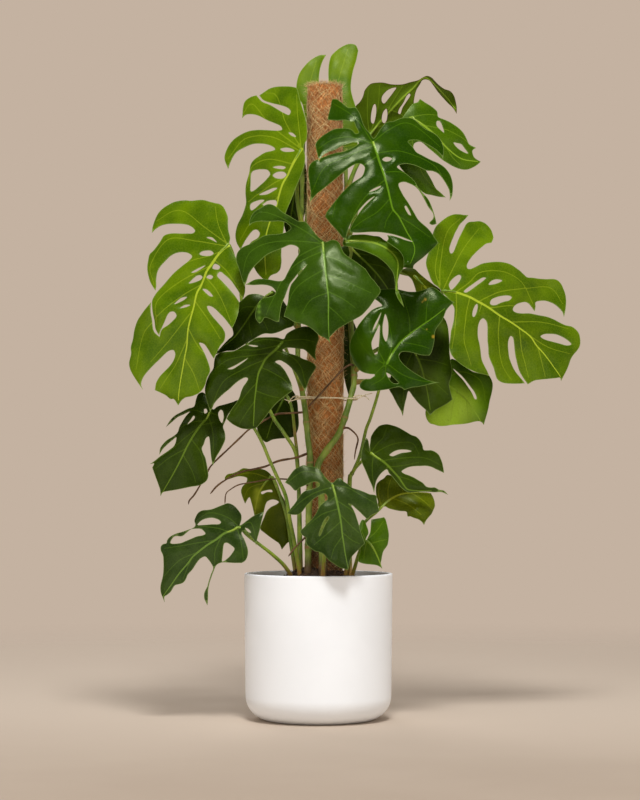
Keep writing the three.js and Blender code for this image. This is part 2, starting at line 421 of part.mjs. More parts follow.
    edge: `107 650, 98 642, 88 641, 81 636, 78 630, 80 625, 86 621, 95 619, 107 619, 121 621,
      133 623, 146 626, 156 626, 163 621 !, 168 623, 178 626, 192 628, 210 632, 230 636 !,
      220 637, 210 640, 201 644, 192 649, 183 654, 174 660, 165 667, 158 674, 154 680, 153 688,
      158 693, 171 693, 181 691, 192 688, 203 687, 211 687 !, 215 694, 218 705, 220 717,
      221 730, 224 738, 229 745, 235 753, 239 762, 243 772, 250 781, 259 788 !, 251 792,
      244 798, 236 804, 226 812, 215 816, 203 812, 187 808, 172 808, 158 811, 144 814, 130 814,
      118 813, 109 805, 106 796, 114 789, 121 781, 112 778, 102 773, 93 765, 85 756, 77 746,
      70 735, 65 725, 61 715, 59 704, 60 693, 63 684, 67 674, 73 665, 80 657, 88 653, 97 651`,
    holes: [
      `119 768, 113 757, 107 746, 103 734, 108 740, 114 753`,
      `116 745, 111 735, 105 722, 101 711, 102 700, 106 690, 110 687, 113 695, 115 712, 116 728`,
      `127 765, 124 755, 122 741, 123 725, 128 714, 131 720, 133 735, 132 752`,
      `129 654, 138 649, 147 640, 152 634, 143 634, 135 641`,
    ],
    midrib: `130 671, 140 690, 156 712, 174 728, 192 741, 214 756, 240 776`,
    stalk: `57 4 262, 58 -2 440, 64 -10 462, 79 -29 498, 90 -49 545, 98 -67 566, 108 -89 597,
      114 -108 618, 122 -131 646, 130 -157 670`,
    face: [-162, 0.07, 0.2], bow: 6, cup: 9, bends: [[240, 790, 50, -10]],
  },
  leaf_right_rear: {
    edge: `171 712, 190 730, 208 745, 224 756, 237 760 !, 242 753, 246 742, 248 726, 249 710,
      249 694, 251 676, 254 660, 252 645, 248 633, 250 620, 254 603 !, 245 596, 233 589,
      222 583, 212 573 !, 204 583, 196 590, 188 598, 180 608, 171 619, 167 606, 163 590,
      160 571 !, 156 582, 149 594, 141 610, 133 626, 138 650, 150 680, 160 700`,
    midrib: `172 706, 184 690, 194 668, 202 640, 208 610, 212 584`,
    stalk: `66 4 655, 96 -18 678, 134 -48 696, 171 -76 706`,
    face: [-79, 0.07, 0.17], bow: 4.5, cup: 7.5,
  },
  leaf_right_lower: {
    edge: `240 652, 246 666, 252 680, 262 677, 274 669, 285 662, 296 656, 310 652, 322 650, 327 643,
      330 634, 330 624, 328 613, 325 601, 323 590, 320 578, 317 567, 314 555 !, 310 560,
      304 562, 296 561, 284 558, 269 556, 253 555, 241 553, 229 553, 219 556, 212 558, 206 565,
      203 577, 206 592, 214 610, 226 630`,
    holes: [
      `256 662, 269 652, 281 638, 291 624, 297 612, 299 603, 295 604, 288 620, 278 636, 266 650`,
    ],
    midrib: `236 640, 248 628, 263 617, 281 600, 294 582, 308 562`,
    stalk: `69 -2 636, 120 10 640, 180 3 645, 236 -20 641`,
    face: [-23, 0.2, 0.23], bow: 7.5, cup: 9, bends: [[318, 620, 30, 13]],
  },
  leaf_centre_rear: {
    edge: `60 898, 76 897, 92 888, 110 880, 128 868, 142 850, 150 830, 150 808, 140 798, 124 792,
      108 796, 96 806, 84 826, 72 848, 58 866, 44 880, 41 892`,
    midrib: `60 892, 80 874, 102 852, 122 828, 138 804`,
    stalk: `57 15 850, 53 -10 868, 56 -40 884, 60 -79 893`,
    face: [-82, 0.1, 0.13], bow: 4.5, cup: 6,
  },
  leaf_right_rear_small: {
    edge: `157 848, 166 853, 182 852, 192 843, 206 832, 220 822, 232 812, 240 796, 232 782, 216 780,
      200 788, 188 802, 183 818, 177 832, 168 840`,
    midrib: `182 838, 194 826, 208 812, 226 792`,
    stalk: `55 16 880, 100 23 862, 150 30 846, 182 26 838`,
    face: [23, 0.08, 0.17], bow: 4.5, cup: 6,
  },
  leaf_upper_left_rear: {
    edge: `-34 1064, -26 1056, -22 1030, -22 1000, -23 975, -28 950, -38 932, -50 918, -58 908 !,
      -63 925, -68 946, -72 968, -70 995, -62 1020, -50 1046`,
    midrib: `-36 1048, -43 1010, -51 960, -57 920`,
    stalk: `-33 14 895, -23 40 940, -23 58 990, -28 60 1025, -36 49 1048`,
    face: [46, 0, 0.12], bow: 4.5, cup: 4,
  },
  leaf_pole_rear: {
    edge: `57 760, 66 752, 74 730, 77 700, 75 665, 70 630, 62 598 !, 54 622, 47 655, 43 690, 42 725,
      47 750`,
    midrib: `58 750, 60 710, 62 660, 62 610`,
    stalk: `61 14 790, 64 32 794, 63 50 778, 58 47 750`,
    face: [44, 0, 0.06], bow: 4.5, cup: 4,
  },
};

// Each limb is a list of "x y z" points with its radius at the first and the last
const STEMS = {
  stem_left: {
    path: `-20 -38 262, -18 -42 400, -15 -44 480, -20 -42 530, -25 -36 580, -31 -22 620, -38 -4 660,
      -39 6 720, -36 12 800, -33 14 900, -31 12 1000, -29 8 1092`,
    radii: [6.4, 3.6],
  },
  stem_front: {
    path: `8 -55 262, 6 -58 412, 2 -55 440, -1 -52 477, 17 -47 508, 39 -42 539, 52 -33 575, 62 -18 610,
      68 -2 640, 65 8 700, 60 14 780, 55 17 880, 53 17 980, 52 13 1082`,
    radii: [7, 3.6],
  },
  stem_rear: {
    path: `6 46 262, 2 48 420, -2 46 600, 4 45 760, 10 42 900, 14 39 1010`,
    radii: [6, 4],
  },
};

const ROOTS = {
  root_long_left: {
    path: `-25 -36 579, -40 -34 578, -58 -32 577, -82 -29 574, -115 -28 556, -132 -29 546, -150 -28 529,
      -171 -27 509, -201 -26 480, -212 -25 462, -226 -26 437, -236 -28 421, -244 -30 412, -246 -31 404`,
    radii: [2, 1.5],
  },
  root_lower_left: {
    path: `-17 -43 503, -30 -45 497, -46 -46 492, -70 -46 488, -85 -47 483, -101 -47 476, -123 -46 471,
      -142 -45 467, -163 -44 458, -180 -43 448, -193 -43 438, -205 -44 424`,
    radii: [2.3, 1.6],
  },
  root_thin_left: {
    path: `-17 -43 438, -32 -58 447, -60 -67 452, -92 -68 452, -120 -66 447, -134 -64 445, -152 -60 441,
      -166 -58 433, -175 -57 424, -177 -56 405`,
    radii: [1.4, 1.1],
  },
  root_on_pole: {
    path: `66 0 668, 60 -24 669, 45 -38 659, 20 -40 632, 4 -43 614, -8 -45 601, -20 -46 588`,
    radii: [2.1, 1.7],
  },
  root_right: {
    path: `43 -40 547, 56 -44 549, 70 -45 538, 75 -45 528, 73 -45 517, 70 -44 504, 68 -43 489`,
    radii: [1.9, 1.3],
  },
  root_stub: { path: `-19 -41 348, -30 -58 337, -44 -66 323, -57 -68 306`, radii: [1.9, 1.4] },
};

const TIE_HEIGHT = 605;
const TIE_LOOP = `-40 -29, -35 -39, -26 -40, 11 -37.5, 54 -30, 66 -30, 73 -20, 69 -6,
  44 24, 12 37, -20 26, -42 -6`;
const TIE_RADIUS = 1.7;
const TIE_RINGS = 32;
const TIE_SIDES = 5;

// A point of the front elevation at depth y
function at(x, y, z) {
  const point = new THREE.Vector3(x, 0, z);
  return point.sub(EYE).multiplyScalar(1 - y / EYE.y).add(EYE);
}

const numbers = (text) => text.split(",").map((entry) => entry.trim().split(" "));
const planePoints = (text) => numbers(text).map(([x, z]) => new THREE.Vector2(+x, +z));
const spacePoints = (text) => numbers(text).map(([x, y, z]) => at(+x, +y, +z));

// A closed solid from a geometry, and back
function solid(geometry) {
  const bare = geometry.index ? geometry.clone() : geometry;
  bare.deleteAttribute("normal");
  bare.deleteAttribute("uv");
  const merged = mergeVertices(bare, 1e-4);
  return new wasm.Manifold(
    new wasm.Mesh({
      numProp: 3,
      vertProperties: merged.attributes.position.array,
      triVerts: new Uint32Array(merged.index.array),
    }),
  );
}

function geometryOf(shape) {
  const mesh = shape.getMesh();
  const geometry = new THREE.BufferGeometry();
  geometry.setAttribute("position", new THREE.BufferAttribute(mesh.vertProperties, 3));
  geometry.setIndex(new THREE.BufferAttribute(mesh.triVerts, 1));
  geometry.computeVertexNormals();
  return geometry;
}

function indexed(points, triangles) {
  const geometry = new THREE.BufferGeometry().setFromPoints(points);
  geometry.setIndex(triangles.flat());
  return geometry;
}

const largestBody = (shape) => shape.decompose().sort((a, b) => b.volume() - a.volume())[0];

// A tapering round limb through the given points, closed at both ends
function limb(points, [startRadius, endRadius], { sides = LIMB_SIDES, step = LIMB_STEP, grow = 0 } = {}) {
  const curve = new THREE.CatmullRomCurve3(points, false, "centripetal");
  const length = curve.getLength();
  const rings = Math.max(3, Math.ceil(length / step));
  const frames = curve.computeFrenetFrames(rings);
  const vertices = [];
  for (let ring = 0; ring <= rings; ring += 1) {
    const share = ring / rings;
    const radius = THREE.MathUtils.lerp(startRadius, endRadius, share) + grow;
    const reach = ring === 0 ? -grow : ring === rings ? grow : 0;
    const centre = curve.getPointAt(share).addScaledVector(frames.tangents[ring], reach);
    for (let side = 0; side < sides; side += 1) {
      const angle = (2 * Math.PI * side) / sides;
      vertices.push(
        centre
          .clone()
          .addScaledVector(frames.normals[ring], radius * Math.cos(angle))
          .addScaledVector(frames.binormals[ring], radius * Math.sin(angle)),
      );
    }
  }
  return solid(indexed(vertices, tubeTriangles(rings, sides)));
}

// The triangles of a tube of rings with both ends capped
function tubeTriangles(rings, sides) {
  const triangles = [];
  for (let ring = 0; ring < rings; ring += 1) {
    for (let side = 0; side < sides; side += 1) {
      const a = ring * sides + side;
      const b = ring * sides + ((side + 1) % sides);
      triangles.push([a, b, b + sides], [a, b + sides, a + sides]);
    }
  }
  const last = rings * sides;
  for (let side = 1; side < sides - 1; side += 1) {
    triangles.push([0, side + 1, side], [last, last + side, last + side + 1]);
  }
  return triangles;
}

// A smooth closed curve through the edge points of a leaf, with corners at the pointed ones
function outline(text) {
  const points = planePoints(text);
  const knots = numbers(text).map(([, , mark], i) => ({ p: points[i], pointed: mark === "!" }));
  const count = knots.length;
  const knot = (i) => knots[(i + count) % count];
  const slope = (i) => {
    const before = knot(i - 1).p;
    const after = knot(i + 1).p;
    const way = before.distanceTo(knot(i).p) + after.distanceTo(knot(i).p);
    return after.clone().sub(before).divideScalar(way);
  };
  const line = [];
  for (let i = 0; i < count; i += 1) {
    const start = knot(i);
    const end = knot(i + 1);
    const chord = end.p.clone().sub(start.p);
    const length = chord.length();
    const leave = start.pointed ? chord : slope(i).multiplyScalar(length);
    const arrive = end.pointed ? chord : slope(i + 1).multiplyScalar(length);
    const steps = Math.ceil(length / OUTLINE_STEP);
    for (let k = 0; k < steps; k += 1) {
      const t = k / steps;
      const point = start.p.clone().multiplyScalar(1 - t * t * (3 - 2 * t));
      point.addScaledVector(end.p, t * t * (3 - 2 * t));
      point.addScaledVector(leave, t * (1 - t) * (1 - t));
      point.addScaledVector(arrive, t * t * (t - 1));
      line.push({ p: point, kept: k === 0 && start.pointed });
    }
  }
  return simplified(line);
}

// Drops the points of a closed line that its shape doesn't need
function simplified(line) {
  const away = ({ p }) => p.distanceTo(line[0].p);
  const far = line.reduce((best, item, i) => (away(item) > away(line[best]) ? i : best), 0);
  const anchors = line.map((item, i) => (item.kept || i === 0 || i === far ? i : -1)).filter((i) => i >= 0);
  const result = [];
  anchors.forEach((first, k) => {
    const last = k + 1 < anchors.length ? anchors[k + 1] : line.length;
    const stretch = line.slice(first, last).concat([line[last % line.length]]).map((item) => item.p);
    result.push(...thinned(stretch).slice(0, -1));
  });
  return result;
}

function thinned(points) {
  const first = points[0];
  const last = points[points.length - 1];
  const chord = last.clone().sub(first);
  const length = chord.length() || 1;
  let worst = 0;
  let split = 0;
  for (let i = 1; i < points.length - 1; i += 1) {
    const gap = Math.abs(chord.cross(points[i].clone().sub(first))) / length;
    if (gap > worst) {
      worst = gap;
      split = i;
    }
  }
  if (worst < OUTLINE_TOLERANCE) {
    return [first, last];
  }
  return thinned(points.slice(0, split + 1)).slice(0, -1).concat(thinned(points.slice(split)));
}

// Splits an outline with holes into triangles, with extra points inside, and turns edges to avoid slivers
function triangulated(contour, holes, inner) {
  const points = contour.concat(...holes);
  const triangles = THREE.ShapeUtils.triangulateShape(contour, holes).map((t) => [...t]);
  const area = (a, b, c) => (b.x - a.x) * (c.y - a.y) - (b.y - a.y) * (c.x - a.x);
  triangles.forEach((t) => {
    if (area(...t.map((i) => points[i])) < 0) {
      t.reverse();
    }
  });
  for (const point of inner) {
    const home = triangles.findIndex(([a, b, c]) => {
      const parts = [[a, b], [b, c], [c, a]].map(([p, q]) => area(points[p], points[q], point));
      return Math.min(...parts) > 0;
    });
    if (home >= 0) {
      const [a, b, c] = triangles[home];
      const added = points.push(point) - 1;
      triangles.splice(home, 1, [a, b, added], [b, c, added], [c, a, added]);
      turnEdges(points, triangles, area);
    }
  }
  turnEdges(points, triangles, area);
  return { points, triangles };
}

function turnEdges(points, triangles, area) {
  const mostPasses = 12;
  for (let pass = 0; pass < mostPasses; pass += 1) {
    const sideOf = new Map();
    triangles.forEach((t, index) => {
      t.forEach((a, k) => sideOf.set(a + "," + t[(k + 1) % 3], [index, t[(k + 2) % 3]]));
    });
    const touched = new Set();
    for (const [key, [left, far]] of sideOf) {
      const [a, b] = key.split(",").map(Number);
      const other = sideOf.get(b + "," + a);
      if (!other || touched.has(left) || touched.has(other[0])) {
        continue;
      }
      const [right, near] = other;
      const [pa, pb, pf, pn] = [a, b, far, near].map((i) => points[i]);
      const convex = area(pn, pb, pf) > SLIVER && area(pf, pa, pn) > SLIVER;
      if (convex && cornerAngle(pf, pa, pb) + cornerAngle(pn, pa, pb) > Math.PI + SLIVER) {
        triangles[left] = [near, b, far];
        triangles[right] = [far, a, near];
        touched.add(left).add(right);
      }
    }
    if (!touched.size) {
      return;
    }
  }
}

function cornerAngle(corner, a, b) {
  const u = a.clone().sub(corner);
  const v = b.clone().sub(corner);
  return Math.abs(Math.atan2(u.cross(v), u.dot(v)));
}

function distanceToLine(point, line) {
  let best = Infinity;
  for (let i = 0; i + 1 < line.length; i += 1) {
    const chord = line[i + 1].clone().sub(line[i]);
    const share = THREE.MathUtils.clamp(point.clone().sub(line[i]).dot(chord) / chord.lengthSq(), 0, 1);
    best = Math.min(best, point.distanceTo(line[i].clone().addScaledVector(chord, share)));
  }
  return best;
}

const closed = (line) => line.concat([line[0]]);

function insideOf(point, line) {
  let inside = false;
  line.forEach((a, i) => {
    const b = line[(i + 1) % line.length];
    if (a.y > point.y !== b.y > point.y && point.x < a.x + ((point.y - a.y) * (b.x - a.x)) / (b.y - a.y)) {
      inside = !inside;
    }
  });
  return inside;
}

// The depth of a blade at a point of the elevation
function depthOf(leaf) {
  const midrib = planePoints(leaf.midrib);
  const top = midrib[0];
  const tip = midrib[midrib.length - 1];
  const along = tip.clone().sub(top).normalize();
  const [depth, across, up] = leaf.face;
  return ({ x, y: z }) => {
    const dx = x - top.x;
    const dz = z - top.y;
    const down = (dx * along.x + dz * along.y) / 100;
    const aside = (dx * along.y - dz * along.x) / 100;
    let y = depth + across * dx + up * dz + leaf.bow * down * down + leaf.cup * aside * aside;
    y += 100 * (leaf.fold ?? 0) * Math.abs(aside);
    for (const [bx, bz, reach, move] of leaf.bends ?? []) {
      y += move * Math.exp(-((x - bx) ** 2 + (z - bz) ** 2) / reach ** 2);
    }
    return y;
  };
}

// One blade: its outline and holes as a thin curved plate, thicker along the midrib
function blade(leaf) {
  const contour = outline(leaf.edge);
  if (THREE.ShapeUtils.isClockWise(contour)) {
    contour.reverse();
  }
  const holes = (leaf.holes ?? []).map((text) => outline(text));
  const rims = [contour, ...holes].map(closed);
  const keel = new THREE.SplineCurve(planePoints(leaf.midrib));
  const keelSteps = Math.ceil(keel.getLength() / KEEL_STEP);
  const keelLine = keel.getSpacedPoints(keelSteps).slice(0, -1);
  const roomTo = (point) => Math.min(...rims.map((rim) => distanceToLine(point, rim)));
  const free = (point, room) =>
    insideOf(point, contour) && holes.every((hole) => !insideOf(point, hole)) && roomTo(point) > room;
  const inner = keelLine.filter((point) => free(point, KEEL_MARGIN));
  const keelPoints = inner.length;
  const box = new THREE.Box2().setFromPoints(contour);
  for (let x = box.min.x + BLADE_GRID / 2; x < box.max.x; x += BLADE_GRID) {
    for (let z = box.min.y + BLADE_GRID / 2; z < box.max.y; z += BLADE_GRID) {
      const point = new THREE.Vector2(x, z);
      if (free(point, BLADE_GRID / 4) && distanceToLine(point, keelLine) > BLADE_GRID / 3) {
        inner.push(point);
      }
    }
  }
  const { points, triangles } = triangulated(contour, holes, inner);
  const depth = depthOf(leaf);
  const rimCount = contour.length + holes.reduce((sum, hole) => sum + hole.length, 0);
  const surface = points.map((p) => at(p.x, depth(p), p.y));
  const normals = vertexNormals(surface, triangles);
  const keelSide = leaf.side ?? 1;
  const lift = (side) =>
    surface.map((p, i) => {
      const onKeel = i >= rimCount && i < rimCount + keelPoints;
      const share = 1 - (i - rimCount) / (keelPoints + 1);
      const ridge = onKeel && side === -keelSide ? KEEL_HEIGHT * share : 0;
      return p.clone().addScaledVector(normals[i], side * (BLADE_THICKNESS / 2 + ridge));
    });
  return solid(plate(lift(1), lift(-1), triangles));
}

function vertexNormals(points, triangles) {
  const normals = points.map(() => new THREE.Vector3());
  for (const [a, b, c] of triangles) {
    const turn = points[b].clone().sub(points[a]).cross(points[c].clone().sub(points[a]));
    [a, b, c].forEach((i) => normals[i].add(turn));
  }
  return normals.map((n) => n.normalize());
}

// A front and a back with the same triangles, and the walls between their open edges
function plate(front, back, triangles) {
  const shift = front.length;
  const faces = [];
  const edges = new Set();
  for (const [a, b, c] of triangles) {
    faces.push([a, b, c], [a + shift, c + shift, b + shift]);
    [[a, b], [b, c], [c, a]].forEach(([p, q]) => edges.add(p + "," + q));
  }
  for (const key of edges) {
    const [a, b] = key.split(",").map(Number);
    if (!edges.has(b + "," + a)) {
      faces.push([b, a, a + shift], [b, a + shift, b + shift]);
    }
  }
  return indexed(front.concat(back), faces);
}

// Limbs that start in the soil reach down to the depth of the roots
const fromSoil = (text) => +numbers(text)[0][2] < (SOIL_EDGE_HEIGHT + SOIL_MOUND_HEIGHT) / 2;

function rooted(text) {
  const [x, y] = numbers(text)[0];
  const points = spacePoints(text);
  return fromSoil(text) ? [at(+x, +y, ROOT_DEPTH), ...points] : points;
}

// A stalk widens towards its foot and runs into the back of its blade along the first stretch of the midrib
function stalkPoints(leaf) {
  const keel = new THREE.SplineCurve(planePoints(leaf.midrib));
  const end = keel.getPointAt(STALK_RUN / keel.getLength());
  return [...rooted(leaf.stalk), at(end.x, depthOf(leaf)(end), end.y)];
}

function leafSolid(leaf) {
  return blade(leaf).add(limb(stalkPoints(leaf), [STALK_RADIUS, STALK_TIP_RADIUS]));
}

// Points of a round stretch of a profile, angles in degrees
function arc(x, z, radius, from, to, steps) {
  return Array.from({ length: steps + 1 }, (_, k) => {
    const angle = THREE.MathUtils.degToRad(THREE.MathUtils.lerp(from, to, k / steps));
    return new THREE.Vector2(x + radius * Math.cos(angle), z + radius * Math.sin(angle));
  });
}

// The pot: a thin round wall, straight but for a slight draft, on a flat bottom with a wide round edge
const FLAT_RADIUS = POT_DIAMETER / 2 - POT_DRAFT - POT_BOTTOM_ROUND;
const INNER_ROUND = POT_BOTTOM_ROUND - POT_WALL;

function potSolid() {
  const lip = POT_WALL / 2;
  return turned([
    new THREE.Vector2(0, 0),
    new THREE.Vector2(FLAT_RADIUS, 0),
    ...arc(FLAT_RADIUS, POT_BOTTOM_ROUND, POT_BOTTOM_ROUND, -75, 0, 5),
    ...arc(POT_DIAMETER / 2 - lip, POT_HEIGHT - lip, lip, 0, 180, 4),
    ...arc(FLAT_RADIUS, POT_FLOOR + INNER_ROUND, INNER_ROUND, 0, -75, 4),
    new THREE.Vector2(FLAT_RADIUS, POT_FLOOR),
    new THREE.Vector2(0, POT_FLOOR),
  ]);
}

// A profile turned round the Z axis
function turnedGeometry(profile) {
  const geometry = new THREE.LatheGeometry(profile, POT_SIDES);
  geometry.rotateX(Math.PI / 2);
  geometry.deleteAttribute("normal");
  geometry.deleteAttribute("uv");
  return mergeVertices(geometry, 1e-4);
}

const turned = (profile) => solid(turnedGeometry(profile));

// The soil fills the pot to just under the rim and rises in lumps to a mound round the pole
function soilSolid(cuts) {
  const floor = POT_FLOOR + CLEARANCE;
  const wall = POT_DIAMETER / 2 - POT_WALL - CLEARANCE - POT_DRAFT * (1 - SOIL_EDGE_HEIGHT / POT_HEIGHT);
  const slope = SOIL_SLOPE.map(([radius, drop]) => new THREE.Vector2(radius, SOIL_MOUND_HEIGHT - drop));
  const geometry = turnedGeometry([
    new THREE.Vector2(0, floor),
    new THREE.Vector2(FLAT_RADIUS, floor),
    ...arc(FLAT_RADIUS, POT_FLOOR + INNER_ROUND, INNER_ROUND - CLEARANCE, -75, 0, 4),
    new THREE.Vector2(wall, SOIL_EDGE_HEIGHT),
    ...slope.reverse(),
    new THREE.Vector2(0, SOIL_MOUND_HEIGHT),
  ]);
  const spots = geometry.attributes.position;
  for (let i = 0; i < spots.count; i += 1) {
    const [x, y, z] = [spots.getX(i), spots.getY(i), spots.getZ(i)];
    if (z > SOIL_EDGE_HEIGHT + 1) {
      spots.setZ(i, z + SOIL_LUMP * Math.sin(x / 9 + 2) * Math.cos(y / 7 + x / 23));
    }
  }
  return cuts.reduce((rest, cut) => rest.subtract(cut), solid(geometry));
}

// The coir pole stands straight, with its net drawn tight in diamonds
const POLE_AXIS = [[11, POLE_BOTTOM], [12, 400], [13, 640], [13, 900], [12, POLE_TOP]];
const POLE_RADII = [34, 34, 34, 34, 33];
const POLE_SIDES = 16;
const POLE_ROWS = 30;
const NET_DEPTH = 1.4;

function poleSection(share) {
  const place = share * (POLE_AXIS.length - 1);
  const part = Math.min(Math.floor(place), POLE_AXIS.length - 2);
  const rest = place - part;
  const mix = (a, b) => THREE.MathUtils.lerp(a, b, rest);
  return {
    x: mix(POLE_AXIS[part][0], POLE_AXIS[part + 1][0]),
    z: mix(POLE_AXIS[part][1], POLE_AXIS[part + 1][1]),
    radius: mix(POLE_RADII[part], POLE_RADII[part + 1]),
  };
}

function poleSolid(bore) {
  const vertices = [];
  for (let row = 0; row <= POLE_ROWS; row += 1) {
    const { x, z, radius } = poleSection(row / POLE_ROWS);
    for (let side = 0; side < POLE_SIDES; side += 1) {
      const angle = (2 * Math.PI * side) / POLE_SIDES;
      const raised = (row + side) % 2 ? 0 : -NET_DEPTH;
      const reach = radius + raised;
      vertices.push(new THREE.Vector3(x + reach * Math.cos(angle), reach * Math.sin(angle), z));
    }
  }
  return solid(indexed(vertices, tubeTriangles(POLE_ROWS, POLE_SIDES))).subtract(bore);
}

function coreSolid(grow = 0) {
  const axis = POLE_AXIS.map(([x, z]) => new THREE.Vector3(x, 0, z));
  axis[0].z = POLE_BOTTOM - grow * 10;
  axis[axis.length - 1].z = POLE_TOP + grow * 10;
  return limb(axis, [CORE_RADIUS + grow, CORE_RADIUS + grow], { sides: CORE_SIDES, step: CORE_STEP });
}

// The raffia tie is a closed ring of cord round the pole and the two front stems
function tieSolid() {
  const loop = planePoints(TIE_LOOP).map((p) => new THREE.Vector3(p.x, p.y, TIE_HEIGHT));
  const curve = new THREE.CatmullRomCurve3(loop, true, "centripetal");
  const vertices = [];
  const triangles = [];
  for (let ring = 0; ring < TIE_RINGS; ring += 1) {
    const centre = curve.getPointAt(ring / TIE_RINGS);
    const tangent = curve.getTangentAt(ring / TIE_RINGS);
    const outward = new THREE.Vector3(tangent.y, -tangent.x, 0).normalize();
    for (let side = 0; side < TIE_SIDES; side += 1) {
      const angle = (2 * Math.PI * side) / TIE_SIDES;
      const lifted = new THREE.Vector3(0, 0, TIE_RADIUS * Math.sin(angle));
      vertices.push(centre.clone().addScaledVector(outward, TIE_RADIUS * Math.cos(angle)).add(lifted));
      const a = ring * TIE_SIDES + side;
      const b = ring * TIE_SIDES + ((side + 1) % TIE_SIDES);
      const c = ((ring + 1) % TIE_RINGS) * TIE_SIDES + ((side + 1) % TIE_SIDES);
      const d = ((ring + 1) % TIE_RINGS) * TIE_SIDES + side;
      triangles.push([a, c, b], [a, d, c]);
    }
  }
  return solid(indexed(vertices, triangles));
}

function withMaterial(name, shape, look) {
  const material = new THREE.MeshStandardMaterial({ metalness: 0, ...COLOURS[look] });
  const mesh = new THREE.Mesh(geometryOf(shape), material);
  mesh.name = name;
  return mesh;
}

const plant = new THREE.Group();
const limbOf = ({ path, radii }, options) => limb(rooted(path), radii, options);
const stems = Object.entries(STEMS);
const roots = Object.entries(ROOTS);
const wideStems = stems.map(([, spec]) => limbOf(spec, { grow: CLEARANCE }));
const wideCore = coreSolid(CLEARANCE);
const pole = poleSolid(wideCore);

// A limb that starts on a stem is cut just clear of it
const clearOfStems = (shape) => largestBody(wideStems.reduce((rest, stem) => rest.subtract(stem), shape));

const stalkHoles = Object.values(LEAVES)
  .filter(({ stalk }) => fromSoil(stalk))
  .map((leaf) => limb(stalkPoints(leaf), [STALK_RADIUS, STALK_TIP_RADIUS], { grow: CLEARANCE }));
const poleHole = solid(
  new THREE.CylinderGeometry(POLE_HOLE_RADIUS, POLE_HOLE_RADIUS, 2 * POLE_TOP, HOLE_SIDES)
    .rotateX(Math.PI / 2)
    .translate(POLE_AXIS[0][0], 0, POLE_TOP + POLE_BOTTOM - CLEARANCE),
);

plant.add(withMaterial("pot", potSolid(), "pot"));
plant.add(withMaterial("soil", soilSolid([poleHole, ...wideStems, ...stalkHoles]), "soil"));
plant.add(withMaterial("coir_pole", pole, "coir"));
plant.add(withMaterial("pole_core", coreSolid(), "wood"));
plant.add(withMaterial("raffia_tie", tieSolid(), "raffia"));
stems.forEach(([name, spec]) => plant.add(withMaterial(name, limbOf(spec), "stem")));
roots.forEach(([name, spec]) => plant.add(withMaterial(name, clearOfStems(limbOf(spec)), "root")));
Object.entries(LEAVES).forEach(([name, leaf]) => {
  plant.add(withMaterial(name, clearOfStems(leafSolid(leaf)), "leaf"));
});

export default plant;
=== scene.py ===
import math
from itertools import combinations

import bpy
import numpy as np
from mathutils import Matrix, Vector
from mathutils.geometry import delaunay_2d_cdt


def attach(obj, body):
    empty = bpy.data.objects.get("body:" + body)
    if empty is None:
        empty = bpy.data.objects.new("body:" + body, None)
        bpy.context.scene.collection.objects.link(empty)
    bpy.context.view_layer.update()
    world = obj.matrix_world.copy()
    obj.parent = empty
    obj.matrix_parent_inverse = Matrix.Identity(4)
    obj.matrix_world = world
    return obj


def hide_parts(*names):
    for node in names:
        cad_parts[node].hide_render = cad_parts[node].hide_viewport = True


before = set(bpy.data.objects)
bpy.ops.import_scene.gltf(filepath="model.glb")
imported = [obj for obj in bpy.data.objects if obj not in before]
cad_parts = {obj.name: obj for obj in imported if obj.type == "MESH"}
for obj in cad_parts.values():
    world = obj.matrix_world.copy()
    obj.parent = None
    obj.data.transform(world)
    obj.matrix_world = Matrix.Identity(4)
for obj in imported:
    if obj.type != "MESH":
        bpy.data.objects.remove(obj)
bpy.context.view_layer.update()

MM = 0.001
SEED = 41
TURN = 2 * math.pi

# The pot, soil and pole repeat the sizes of the CAD parts
POT_RADIUS = 140
POT_HEIGHT = 275
POT_WALL = 6
POT_FLOOR = 9
POT_BOTTOM_ROUND = 46
POT_DRAFT = 2.5
SOIL_GAP = 0.35
SOIL_PROFILE = [(0, 285), (26, 285), (40, 281), (56, 271), (80, 262), (108, 257), (133, 255)]
POLE_AXIS = [(11, 24), (12, 400), (13, 640), (13, 900), (12, 1200)]
POLE_RADII = [34, 34, 34, 34, 33]
SOIL_TOP = SOIL_PROFILE[0][1]
POLE_LOW, POLE_HIGH = POLE_AXIS[0][1], POLE_AXIS[-1][1]

# The leaves, stalks, stems and roots are drawn on a front elevation, the plane Y = 0, with a depth for each
# point. A point lies on the line from an eye 4 m in front of the pole through its place on the elevation.
EYE = np.array([3.0, -4000.0, 447.0])

# How finely the leaves are cut up, and how far their inner points keep from the edges and veins
EDGE_STEP = 2.4
VEIN_STEP = 3.0
BLADE_GRID = 3.4
GRID_CLEAR = 0.42 * BLADE_GRID
RIDGE_FOOT = 1.9
RIDGE_CLEAR = 1.1
RIDGE_GRID_CLEAR = 0.45 * BLADE_GRID

# The form of a blade: half its thickness, the swell between its veins, the roll of its margin and its ridges
BLADE_HALF = 0.42
RIM_HALF = 0.22
QUILT_HEIGHT = 1.3
QUILT_REACH = 11.0
ROLL_DEPTH = 2.0
ROLL_REACH = 7.0
SWELL = 1.4
MIDRIB_HEIGHT = 2.1
MIDRIB_GROOVE = 0.7
RIB_HEIGHT = 0.7

# The painted veins are this wide at the start and lose this much by the tip
MIDRIB_WIDTH, MIDRIB_TAPER = 2.3, 1.6
RIB_WIDTH, RIB_TAPER = 0.95, 0.5

# The stalks: their radius and what it loses, and how far they run on under the midrib
STALK_RADIUS, STALK_TAPER = 4.2, 1.7
STALK_RUN = 30
STALK_STEP = 5
STALK_SIDES = 12

# A stalk that starts below SOIL_REACH comes out of the soil, and goes down in it to ROOT_DEPTH
SOIL_REACH = 290
ROOT_DEPTH = 226

